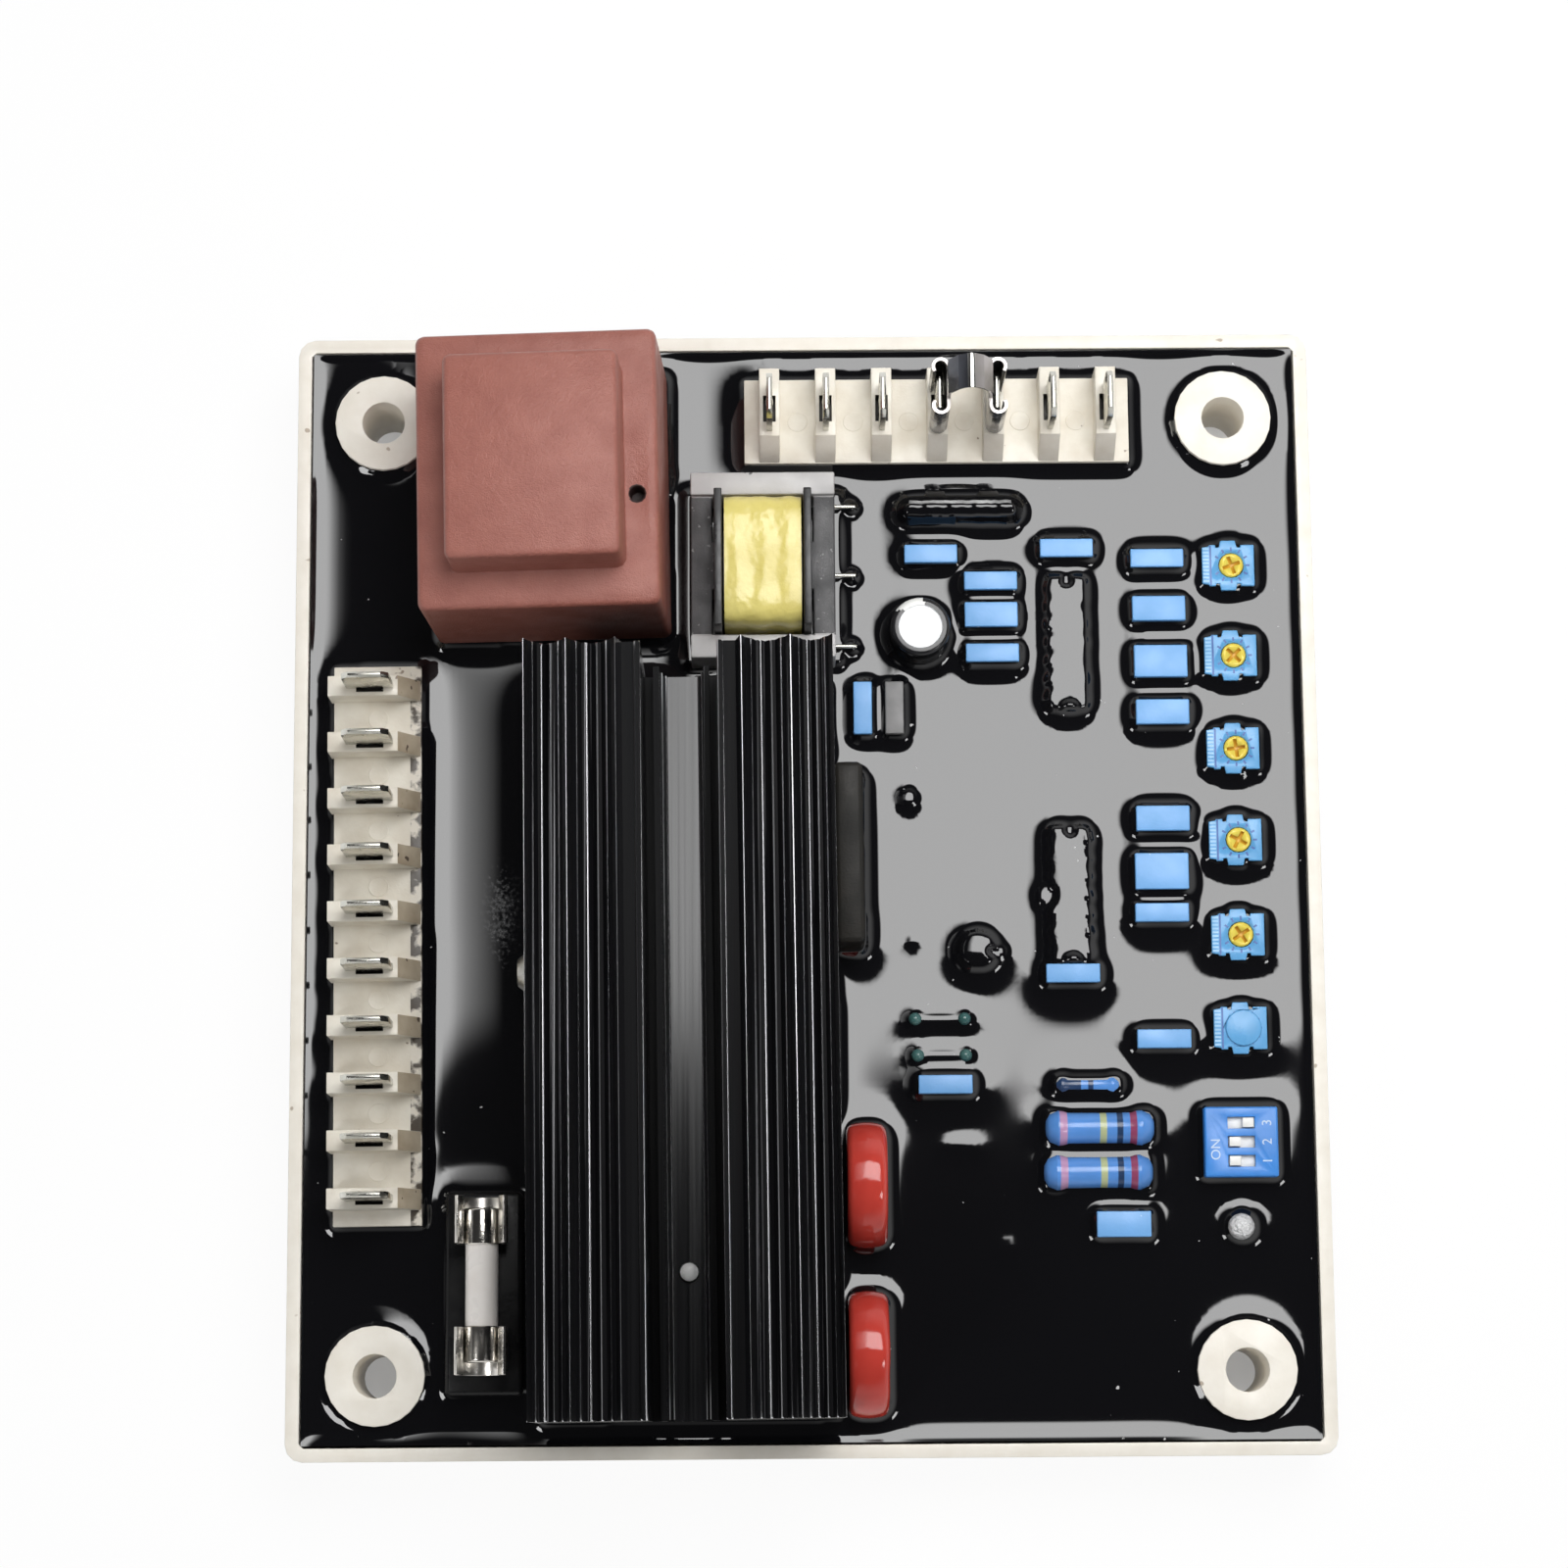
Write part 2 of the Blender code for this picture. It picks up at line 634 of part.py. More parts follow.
def make_covered_parts():
    """Swellings of the resin over parts that it hides."""
    for x, y in CHIP_PLACES:
        chip = mound(CHIP_SWELLING, CHIP_SPREAD, CHIP_RISE, CHIP_SPREAD)
        write_object("chip", chip, collar_collection, across(x), along(y))
    body = block(
        (-RECTIFIER_SWELLING[0] / 2, -RECTIFIER_SWELLING[1] / 2, RESIN_TOP - OVERSHOOT),
        (RECTIFIER_SWELLING[0] / 2, RECTIFIER_SWELLING[1] / 2, RESIN_TOP + RECTIFIER_RISE),
    )
    place = (across(RECTIFIER_PLACE[0]), along(RECTIFIER_PLACE[1]))
    write_object("rectifier", body, collar_collection, *place)
    foot = mound(RECTIFIER_SWELLING, COLLAR_SPREAD, COLLAR_RISE * 2, COLLAR_SPREAD)
    write_object("rectifier foot", foot, collar_collection, *place)
    place = (across(ROUND_PART_PLACE[0]), along(ROUND_PART_PLACE[1]))
    swelling(ROUND_PART_RADIUS + COLLAR_SPREAD, ROUND_PART_RADIUS, ROUND_PART_RISE, *place, 14)
    for x, y in BEAD_PLACES:
        swelling(BEAD_RADIUS + COLLAR_SPREAD, BEAD_RADIUS, BEAD_RISE, across(x), along(y), 8)


def case_body(grow=0.0, low=0.0):
    """The red-brown case without its raised top, wider by grow on each side."""
    half_x = CASE_SIZE_X / 2 + grow
    half_y = CASE_SIZE_Y / 2 + grow
    bm = block((-half_x, -half_y, low), (half_x, half_y, CASE_TOP - PART_LOW))
    return bm


def make_case():
    """The potted transformer: a moulded block with a smaller raised block on it and one vent hole."""
    bm = case_body()
    top = max(bm.faces, key=lambda face: face.calc_center_median().z)
    ledge = (CASE_SIZE_X - CAP_SIZE_X) / 2
    inset = bmesh.ops.inset_region(bm, faces=[top], thickness=ledge, use_even_offset=True)
    bmesh.ops.scale(bm, verts=top.verts, vec=(1, CAP_SIZE_Y / (CASE_SIZE_Y - 2 * ledge), 1))
    lifted = bmesh.ops.extrude_face_region(bm, geom=[top])
    verts = [item for item in lifted["geom"] if isinstance(item, bmesh.types.BMVert)]
    bmesh.ops.delete(bm, geom=[top], context="FACES_ONLY")
    bmesh.ops.translate(bm, verts=verts, vec=(0, 0, CAP_RISE))
    lower = [edge for edge in bm.edges if min(vert.co.z for vert in edge.verts) > 0]
    foot = {edge for face in inset["faces"] for edge in face.edges}
    seam = [edge for edge in foot if all(abs(vert.co.x) < CASE_SIZE_X / 2 - CASE_EDGE for vert in edge.verts)]
    chosen = [edge for edge in lower + upright_edges(bm) if edge not in seam]
    round_edges(bm, list(set(chosen)), CASE_EDGE, 2)
    lift = math.sin(math.radians(abs(CASE_LEAN))) * CASE_SIZE_X / 2
    turn = (0.0, CASE_LEAN, CASE_TURN)
    case = part("transformer_case", bm, material("red-brown case", (0.36, 0.13, 0.11), 0.6),
                CASE_X, CASE_Y, PART_LOW + lift, turn, smooth=40)
    vent = bar(VENT_RADIUS, CASE_TOP - PART_LOW - VENT_DEPTH, CASE_TOP - PART_LOW + OVERSHOOT, 12)
    bmesh.ops.translate(vent, verts=vent.verts, vec=(VENT_X, VENT_Y, 0))
    combine(case, vent, "DIFFERENCE", CASE_X, CASE_Y, PART_LOW + lift, turn)
    room = case_body(POCKET_GAP, -OVERSHOOT)
    write_object("case room", room, pocket_collection, CASE_X, CASE_Y, PART_LOW + lift, turn)
    collar((CASE_SIZE_X, CASE_SIZE_Y), CASE_X, CASE_Y, CASE_TURN)


def make_core():
    """The glued E and I halves: two outer legs, two lower yokes and the leg through the former."""
    half_x = CORE_SIZE_X / 2
    half_y = CORE_SIZE_Y / 2
    yoke_z = CORE_YOKE_HALF_HEIGHT
    leg_z = yoke_z + CORE_LEG_EXTRA
    body = block((-half_x, -half_y, -yoke_z), (half_x, half_y, yoke_z))
    core = part("ferrite_core", body, material("ferrite", (0.30, 0.30, 0.31), 0.5), CORE_X, CORE_Y, CORE_Z)
    window_y = half_y - CORE_LEG_WIDTH
    for side in (-1, 1):
        ys = sorted((side * window_y, side * half_y))
        leg = block((-half_x, ys[0], -leg_z), (half_x, ys[1], leg_z))
        combine(core, leg, "UNION", CORE_X, CORE_Y, CORE_Z)
        ys = sorted((side * CENTRE_LEG_WIDTH / 2, side * window_y))
        window = block(
            (-half_x + CORE_YOKE_WIDTH, ys[0], -leg_z - OVERSHOOT),
            (half_x - CORE_YOKE_WIDTH, ys[1], leg_z + OVERSHOOT),
        )
        combine(core, window, "DIFFERENCE", CORE_X, CORE_Y, CORE_Z)


def make_former():
    """The coil former: a square tube between two flanges that stand on pin rails."""
    inner_y = CENTRE_LEG_WIDTH / 2 + SEAT_GAP
    inner_z = CORE_YOKE_HALF_HEIGHT + SEAT_GAP
    outer_y = inner_y + FORMER_WALL
    outer_z = inner_z + FORMER_WALL
    end = CORE_SIZE_X / 2 - CORE_YOKE_WIDTH - SEAT_GAP
    tube = block((-end, -outer_y, -outer_z), (end, outer_y, outer_z))
    black = material("black former", (0.03, 0.03, 0.03), 0.4)
    former = part("coil_former", tube, black, CORE_X, CORE_Y, CORE_Z)
    flange_y = CORE_SIZE_Y / 2 - CORE_LEG_WIDTH - SEAT_GAP
    low = PART_LOW - CORE_Z
    rail_y = CORE_SIZE_Y / 2 - PIN_RAIL_SPREAD
    for side in (-1, 1):
        xs = sorted((side * end, side * (end - FLANGE_THICKNESS)))
        flange = block((xs[0], -flange_y, low), (xs[1], flange_y, FLANGE_TOP - CORE_Z))
        combine(former, flange, "UNION", CORE_X, CORE_Y, CORE_Z)
        xs = sorted((side * (end - FLANGE_THICKNESS / 2), side * (CORE_SIZE_X / 2 + PIN_RAIL_SPREAD)))
        rail = block((xs[0], -rail_y, low), (xs[1], rail_y, PIN_RAIL_TOP - CORE_Z))
        combine(former, rail, "UNION", CORE_X, CORE_Y, CORE_Z)
    passage = block((-end - OVERSHOOT, -inner_y, -inner_z), (end + OVERSHOOT, inner_y, inner_z))
    combine(former, passage, "DIFFERENCE", CORE_X, CORE_Y, CORE_Z)
    rail_end = CORE_SIZE_X / 2 + PIN_RAIL_SPREAD
    pin_y = CORE_SIZE_Y / 2 - PIN_INSET_Y
    for offset_y in (-pin_y, 0.0, pin_y):
        pin = bar(PIN_RADIUS, -PIN_LENGTH, PIN_LENGTH, 10)
        combine(former, pin, "UNION", CORE_X + rail_end, CORE_Y + offset_y, PIN_HEIGHT, (0, 90, 0))
        swelling(2.6, 1.0, COLLAR_RISE, CORE_X + rail_end + PIN_LENGTH / 2, CORE_Y + offset_y, 8)
        pin_room = block((0, -PIN_RADIUS - POCKET_GAP, PIN_HEIGHT - PIN_RADIUS - POCKET_GAP),
                         (PIN_LENGTH + POCKET_GAP, PIN_RADIUS + POCKET_GAP, RESIN_TOP + 3 * OVERSHOOT))
        write_object("pin room", pin_room, pocket_collection, CORE_X + rail_end, CORE_Y + offset_y)
    footprint = (2 * rail_end, 2 * rail_y)
    pocket(footprint, CORE_X, CORE_Y)
    collar(footprint, CORE_X, CORE_Y)


def make_winding():
    """The taped coil: a rounded ring round the former's tube."""
    flange_y = CORE_SIZE_Y / 2 - CORE_LEG_WIDTH - SEAT_GAP
    end = CORE_SIZE_X / 2 - CORE_YOKE_WIDTH - SEAT_GAP - FLANGE_THICKNESS - SEAT_GAP
    outline = []
    for step in range(WINDING_STEPS):
        angle = 2 * math.pi * (step + 0.5) / WINDING_STEPS
        across = math.copysign(abs(math.cos(angle)) ** 0.62, math.cos(angle)) * flange_y
        height = math.copysign(abs(math.sin(angle)) ** 0.62, math.sin(angle)) * WINDING_HALF_HEIGHT
        outline.append((across, height))
    bm = prism(outline, -end, end)
    turn = (90.0, 0.0, 90.0)
    winding = part("coil_winding", bm, material("yellow tape", (0.85, 0.76, 0.28), 0.35),
                   CORE_X, CORE_Y, CORE_Z, turn, smooth=40)
    gap = SEAT_GAP + FORMER_WALL + SEAT_GAP
    half_y = CENTRE_LEG_WIDTH / 2 + gap
    half_z = CORE_YOKE_HALF_HEIGHT + gap
    inside = block((-half_y, -half_z, -end - OVERSHOOT), (half_y, half_z, end + OVERSHOOT))
    combine(winding, inside, "DIFFERENCE", CORE_X, CORE_Y, CORE_Z, turn)


def sink_half_section():
    """Right half of the section, from the outer foot over the ridged top to the channel's middle."""
    points = [(SINK_HALF_WIDTH, PART_LOW)]
    spans = list(zip(SINK_PEAKS, SINK_PEAKS[1:]))[::-1]
    for inner, outer in spans:
        width = (outer - inner) / SINK_RIDGE_COUNT
        for ridge in range(SINK_RIDGE_COUNT):
            for shift, drop in ((0.0, 0.0), (0.5, SINK_TOOTH_DEPTH)):
                share = (ridge + shift) / SINK_RIDGE_COUNT
                sag = SINK_VALLEY_DEPTH * math.sin(math.pi * share)
                points.append((outer - width * (ridge + shift), SINK_TIP - sag - drop))
    rib_outer = CHANNEL_RIB_X + CHANNEL_RIB_WIDTH / 2
    rib_inner = CHANNEL_RIB_X - CHANNEL_RIB_WIDTH / 2
    points += [
        (SINK_PEAKS[0], SINK_TIP),
        (SINK_LEDGE_X, SINK_TIP - SINK_LEDGE_DROP),
        (SINK_LIP_OUTER_X, SINK_TIP - SINK_LEDGE_DROP),
        (SINK_LIP_OUTER_X, SINK_TIP - SINK_LIP_DROP),
        (CHANNEL_HALF_WIDTH, SINK_TIP - SINK_LIP_DROP),
        (CHANNEL_HALF_WIDTH, CHANNEL_FLOOR),
        (rib_outer, CHANNEL_FLOOR),
        (rib_outer, CHANNEL_FLOOR + CHANNEL_RIB_RISE),
        (rib_inner, CHANNEL_FLOOR + CHANNEL_RIB_RISE),
        (rib_inner, CHANNEL_FLOOR),
    ]
    return points


def make_heat_sink():
    """The black extrusion with its rivet in the channel and its clamp screw on the left flank."""
    half = sink_half_section()
    section = half + [(-x, z) for x, z in reversed(half)]
    bm = prism(section, -SINK_LENGTH / 2, SINK_LENGTH / 2)
    bmesh.ops.rotate(bm, verts=bm.verts, cent=(0, 0, 0), matrix=Matrix.Rotation(math.radians(90), 3, "X"))
    turn = (0.0, 0.0, SINK_TURN)
    black = material("black anodised", (0.02, 0.02, 0.022), 0.3, 0.6)
    sink = part("heat_sink", bm, black, SINK_X, SINK_Y, 0, turn)
    footprint = (2 * SINK_HALF_WIDTH, SINK_LENGTH)
    pocket(footprint, SINK_X, SINK_Y, turn=SINK_TURN)
    collar(footprint, SINK_X, SINK_Y, SINK_TURN)
    place = Matrix.Translation((SINK_X, SINK_Y, 0)) @ Matrix.Rotation(math.radians(SINK_TURN), 4, "Z")
    at = place @ Vector((0, RIVET_Y, CHANNEL_FLOOR))
    hole = bar(RIVET_SHANK_RADIUS + RUNNING_GAP, -RIVET_SHANK_LENGTH - SEAT_GAP, OVERSHOOT, 16)
    combine(sink, hole, "DIFFERENCE", *at)
    profile = [(0, SEAT_GAP + RIVET_HEAD_RISE)]
    for step in (1, 2, 3):
        angle = math.pi / 2 * step / 3
        profile.append((RIVET_HEAD_RADIUS * math.sin(angle), SEAT_GAP + RIVET_HEAD_RISE * math.cos(angle)))
    profile += [
        (RIVET_SHANK_RADIUS, SEAT_GAP),
        (RIVET_SHANK_RADIUS, -RIVET_SHANK_LENGTH),
        (0, -RIVET_SHANK_LENGTH),
    ]
    steel = material("bright screw", (0.6, 0.6, 0.6), 0.3, 1.0)
    turned("channel_rivet", profile, 16, steel, *at)
    at = place @ Vector((-SINK_HALF_WIDTH, SCREW_Y, SCREW_Z))
    side = (0.0, -90.0, SINK_TURN)
    hole = bar(SCREW_SHANK_RADIUS + RUNNING_GAP, -SCREW_SHANK_LENGTH - SEAT_GAP, OVERSHOOT, 16)
    combine(sink, hole, "DIFFERENCE", *at, side)
    profile = [
        (0, SEAT_GAP + SCREW_HEAD_THICKNESS),
        (SCREW_HEAD_RADIUS * 0.7, SEAT_GAP + SCREW_HEAD_THICKNESS),
        (SCREW_HEAD_RADIUS, SEAT_GAP + SCREW_HEAD_THICKNESS * 0.55),
        (SCREW_HEAD_RADIUS, SEAT_GAP),
        (SCREW_SHANK_RADIUS, SEAT_GAP),
        (SCREW_SHANK_RADIUS, -SCREW_SHANK_LENGTH),
        (0, -SCREW_SHANK_LENGTH),
    ]
    turned("clamp_screw", profile, 16, steel, *at, side)


def make_power_package():
    """The upright power package against the heat sink's right flank."""
    half_x = PACKAGE_SIZE[0] / 2
    half_y = PACKAGE_SIZE[1] / 2
    lean = math.radians(SINK_TURN)
    y = along(PACKAGE_Y)
    x = SINK_X + SINK_HALF_WIDTH + SEAT_GAP + half_x - math.sin(lean) * (y - SINK_Y)
    bm = block((-half_x, -half_y, PART_LOW), (half_x, half_y, PACKAGE_TOP))
    above = [edge for edge in bm.edges if max(vert.co.z for vert in edge.verts) > PACKAGE_TOP - 0.01]
    round_edges(bm, above, 0.7, 2)
    part("power_package", bm, material("black package", (0.03, 0.03, 0.03), 0.3),
         x, y, 0, (0, 0, SINK_TURN), smooth=40)
    pocket(PACKAGE_SIZE, x, y, turn=SINK_TURN)
    collar(PACKAGE_SIZE, x, y, SINK_TURN)


def clip_path():
    """Middle line of a fuse clip's bent sheet, from one flared lip round the cap to the other."""
    radius = FUSE_CAP_RADIUS + SEAT_GAP + CLIP_THICKNESS / 2
    path = []
    steps = 14
    for step in range(steps + 1):
        angle = math.radians(180 - CLIP_ARM_ANGLE + (180 + 2 * CLIP_ARM_ANGLE) * step / steps)
        path.append((radius * math.cos(angle), radius * math.sin(angle)))
    out = CLIP_LIP
    first = (path[0][0] - out * 0.6, path[0][1] + out)
    last = (path[-1][0] + out * 0.6, path[-1][1] + out)
    return [first] + path + [last]


def make_fuse():
    """The holder's base, two spring clips and the cartridge fuse that they grip."""
    half_x = HOLDER_SIZE[0] / 2
    half_y = HOLDER_SIZE[1] / 2
    base = block((-half_x, -half_y, PART_LOW), (half_x, half_y, HOLDER_TOP))
    above = [edge for edge in base.edges if max(vert.co.z for vert in edge.verts) > HOLDER_TOP - 0.01]
    round_edges(base, above, 0.5)
    middle_y = along(FUSE_Y)
    holder_y = middle_y + HOLDER_SHIFT_Y
    part("fuse_holder", base, material("black holder", (0.02, 0.02, 0.02), 0.35), FUSE_X, holder_y)
    pocket(HOLDER_SIZE, FUSE_X, holder_y)
    collar(HOLDER_SIZE, FUSE_X, holder_y)
    axis_z = HOLDER_TOP + SEAT_GAP + CLIP_THICKNESS + SEAT_GAP + FUSE_CAP_RADIUS
    nickel = material("nickel sheet", (0.75, 0.74, 0.70), 0.25, 1.0)
    bright = material("nickel cap", (0.80, 0.78, 0.74), 0.2, 1.0)
    for label, side in (("rear", 1), ("front", -1)):
        outline = sheet_outline(clip_path(), CLIP_THICKNESS)
        bm = prism(outline, -CLIP_WIDTH / 2, CLIP_WIDTH / 2)
        clip_y = middle_y + side * CLIP_SPACING / 2
        part("fuse_clip_" + label, bm, nickel, FUSE_X, clip_y, axis_z, (90, 0, 0), smooth=50)
        end = FUSE_LENGTH / 2
        inner = FUSE_CAP_RADIUS - FUSE_CAP_WALL
        profile = [(0, end), (FUSE_CAP_RADIUS - 0.3, end), (FUSE_CAP_RADIUS, end - 0.3),
                   (FUSE_CAP_RADIUS, end - FUSE_CAP_LENGTH), (inner, end - FUSE_CAP_LENGTH),
                   (inner, end - FUSE_CAP_WALL), (0, end - FUSE_CAP_WALL)]
        turned("fuse_cap_" + label, profile, FUSE_STEPS, bright, FUSE_X, middle_y, axis_z, (-90 * side, 0, 0))
    tube_end = FUSE_LENGTH / 2 - FUSE_CAP_WALL - SEAT_GAP
    tube = bar(FUSE_TUBE_RADIUS, -tube_end, tube_end, FUSE_STEPS)
    part("fuse_tube", tube, material("white ceramic", (0.85, 0.85, 0.82), 0.4),
         FUSE_X, middle_y, axis_z, (90, 0, 0), smooth=40)


def tab_blade(x):
    """One upright blade, its two upper corners cut off."""
    front = -TAB_SETBACK - TAB_WIDTH / 2
    back = -TAB_SETBACK + TAB_WIDTH / 2
    top = STRIP_BASE_TOP + STRIP_RIB_RISE + TAB_RISE
    low = PART_LOW + OVERSHOOT
    outline = [(front, low), (back, low), (back, top - TAB_CORNER), (back - TAB_CORNER, top),
               (front + TAB_CORNER, top), (front, top - TAB_CORNER)]
    return stand_up(prism(outline, -TAB_THICKNESS / 2, TAB_THICKNESS / 2), x)


def stand_up(bm, x):
    """Turns a flat outline given as depth and height so that its depth runs along Y."""
    turn = Matrix.Rotation(math.radians(90), 3, "Z") @ Matrix.Rotation(math.radians(90), 3, "X")
    bmesh.ops.rotate(bm, verts=bm.verts, cent=(0, 0, 0), matrix=turn)
    bmesh.ops.translate(bm, verts=bm.verts, vec=(x, 0, 0))
    return bm


def make_strip(name, count, x, y, turn):
    """A row of flat tabs in one moulding. Its back edge is the local X axis and its middle the origin."""
    half = (count - 1) * TAB_PITCH / 2 + STRIP_END
    base = block((-half, -STRIP_DEPTH, PART_LOW), (half, 0, STRIP_BASE_TOP))
    strip = part(name, base, material(name + " cream", (0.87, 0.83, 0.70), 0.5), x, y, 0, (0, 0, turn))
    rib_top = STRIP_BASE_TOP + STRIP_RIB_RISE
    for index in range(count):
        middle = (index - (count - 1) / 2) * TAB_PITCH
        outline = [
            (STRIP_RIB_OVERHANG, PART_LOW),
            (STRIP_RIB_OVERHANG, rib_top),
            (STRIP_RAMP - STRIP_DEPTH, rib_top),
            (STRIP_RIB_INSET - STRIP_DEPTH, STRIP_BASE_TOP),
            (STRIP_RIB_INSET - STRIP_DEPTH, PART_LOW),
        ]
        rib = stand_up(prism(outline, -STRIP_RIB_WIDTH / 2, STRIP_RIB_WIDTH / 2), middle)
        combine(strip, rib, "UNION", x, y, 0, (0, 0, turn))
        socket = block(
            (middle - STRIP_SOCKET[1] / 2, -TAB_SETBACK - STRIP_SOCKET[0] / 2, rib_top - STRIP_SOCKET_DEPTH),
            (middle + STRIP_SOCKET[1] / 2, -TAB_SETBACK + STRIP_SOCKET[0] / 2, rib_top + OVERSHOOT),
        )
        combine(strip, socket, "DIFFERENCE", x, y, 0, (0, 0, turn))
        combine(strip, tab_blade(middle), "UNION", x, y, 0, (0, 0, turn))
    depth = STRIP_DEPTH + STRIP_RIB_OVERHANG
    place = Matrix.Translation((x, y, 0)) @ Matrix.Rotation(math.radians(turn), 4, "Z")
    foot = place @ Vector((0, (STRIP_RIB_OVERHANG - STRIP_DEPTH) / 2, 0))
    pocket((2 * half, depth), foot.x, foot.y, turn=turn)
    collar((2 * half, depth), foot.x, foot.y, turn)


def make_strips():
    """The two rows of tabs."""
    make_strip("terminal_strip_top", TOP_STRIP_TAB_COUNT, across(TOP_STRIP_X), TOP_STRIP_BACK_Y, 0.0)
    side_y = along(SIDE_STRIP_Y)
    side_turn = QUARTER_TURN + SIDE_STRIP_TURN
    make_strip("terminal_strip_side", SIDE_STRIP_TAB_COUNT, SIDE_STRIP_X, side_y, side_turn)


def grip_path(side):
    """Middle line of one receptacle's sheet, curled round both edges of a tab, its back on the given side."""
    front = TOP_STRIP_BACK_Y - TAB_SETBACK - TAB_WIDTH / 2 - SEAT_GAP + LINK_CURL_RADIUS - LINK_SHEET / 2
    back = TOP_STRIP_BACK_Y - TAB_SETBACK + TAB_WIDTH / 2 + SEAT_GAP - LINK_CURL_RADIUS + LINK_SHEET / 2
    path = []
    for step in range(LINK_CURL_STEPS + 1):
        angle = math.radians(LINK_SLIT_ANGLE + (270 - LINK_SLIT_ANGLE) * step / LINK_CURL_STEPS)
        path.append((-side * LINK_CURL_RADIUS * math.sin(angle), front + LINK_CURL_RADIUS * math.cos(angle)))
    mirrored = [(x, front + back - y) for x, y in reversed(path)]
    return path + mirrored


def make_link():
    """The bright jumper: two receptacles on neighbouring tabs, joined by a strip folded like a roof."""
    first = across(TOP_STRIP_X) + (LINK_TAB_INDEX - (TOP_STRIP_TAB_COUNT - 1) / 2) * TAB_PITCH
    reach = LINK_CURL_RADIUS
    middle = first + TAB_PITCH / 2
    half = TAB_PITCH / 2 - reach
    bend = LINK_SHOULDER + (LINK_RIDGE - LINK_SHOULDER) * LINK_BEND_SHARE
    path = [(-half, LINK_GRIP_LOW + OVERSHOOT), (-half, LINK_SHOULDER), (-half * LINK_BEND_X, bend),
            (0, LINK_RIDGE), (half * LINK_BEND_X, bend), (half, LINK_SHOULDER), (half, LINK_GRIP_LOW + OVERSHOOT)]
    strip = prism(sheet_outline(path, LINK_SHEET * 0.9), -LINK_STRIP_HALF_WIDTH, LINK_STRIP_HALF_WIDTH)
    upright = Matrix.Rotation(math.radians(QUARTER_TURN), 3, "X")
    bmesh.ops.rotate(strip, verts=strip.verts, cent=(0, 0, 0), matrix=upright)
    bmesh.ops.translate(strip, verts=strip.verts, vec=(0, LINK_STRIP_SHIFT, 0))
    y = TOP_STRIP_BACK_Y - TAB_SETBACK
    link = part("jumper_link", strip, material("bright link", (0.85, 0.85, 0.86), 0.1, 1.0), middle, y)
    for side, x in ((1, first), (-1, first + TAB_PITCH)):
        grip = prism(sheet_outline(grip_path(side), LINK_SHEET), LINK_GRIP_LOW, LINK_GRIP_TOP)
        combine(link, grip, "UNION", x, 0)


def make_film_capacitors():
    """Box film capacitors, all the same length, in four thicknesses."""
    blue = material("light blue box", (0.25, 0.52, 0.88), 0.35)
    grey = material("grey box", (0.45, 0.45, 0.45), 0.4)
    places = [(across(x), along(y), FILM_LENGTH, thick) for x, y, thick in FILM_PLACES]
    places += [(x, along(UPRIGHT_FILM_Y), SLIM, FILM_LENGTH) for x in (UPRIGHT_FILM_X, GREY_FILM_X)]
    for number, place in enumerate(places[:-1], 1):
        film_box("film_capacitor_" + str(number), blue, *place)
    film_box("grey_capacitor", grey, *places[-1])
    for group in FILM_GROUPS:
        members = [places[number - 1] for number in group]
        lows = [min(place[axis] - place[axis + 2] / 2 for place in members) for axis in (0, 1)]
        highs = [max(place[axis] + place[axis + 2] / 2 for place in members) for axis in (0, 1)]
        size = [high - low for low, high in zip(lows, highs)]
        collar(size, (lows[0] + highs[0]) / 2, (lows[1] + highs[1]) / 2)


def film_box(name, surface, x, y, size_x, size_y):
    """One capacitor: a box with its edges broken, in its pocket."""
    bm = block((-size_x / 2, -size_y / 2, PART_LOW), (size_x / 2, size_y / 2, FILM_TOP))
    round_edges(bm, list(bm.edges), FILM_EDGE)
    part(name, bm, surface, x, y)
    pocket((size_x, size_y), x, y)


def make_can():
    """The electrolytic capacitor: a sleeve rolled over the rim of a bare metal disc."""
    top = CAN_HEIGHT
    profile = [(0, top - CAN_DISC_DROP), (CAN_DISC_RADIUS, top - CAN_DISC_DROP), (CAN_DISC_RADIUS + 0.2, top)]
    for step in range(1, 4):
        angle = math.pi / 2 * step / 3
        radius = CAN_RADIUS - CAN_ROLL + CAN_ROLL * math.sin(angle)
        profile.append((radius, top - CAN_ROLL + CAN_ROLL * math.cos(angle)))
    profile += [(CAN_RADIUS, 0.3), (CAN_RADIUS - 0.3, 0), (0, 0)]
    x = across(CAN_X)
    y = along(CAN_Y)
    turned("electrolytic_capacitor", profile, CAN_STEPS, material("black sleeve", (0.03, 0.03, 0.04), 0.25),
           x, y, PART_LOW)
    round_pocket(CAN_RADIUS, x, y)
    round_collar(CAN_RADIUS, x, y)


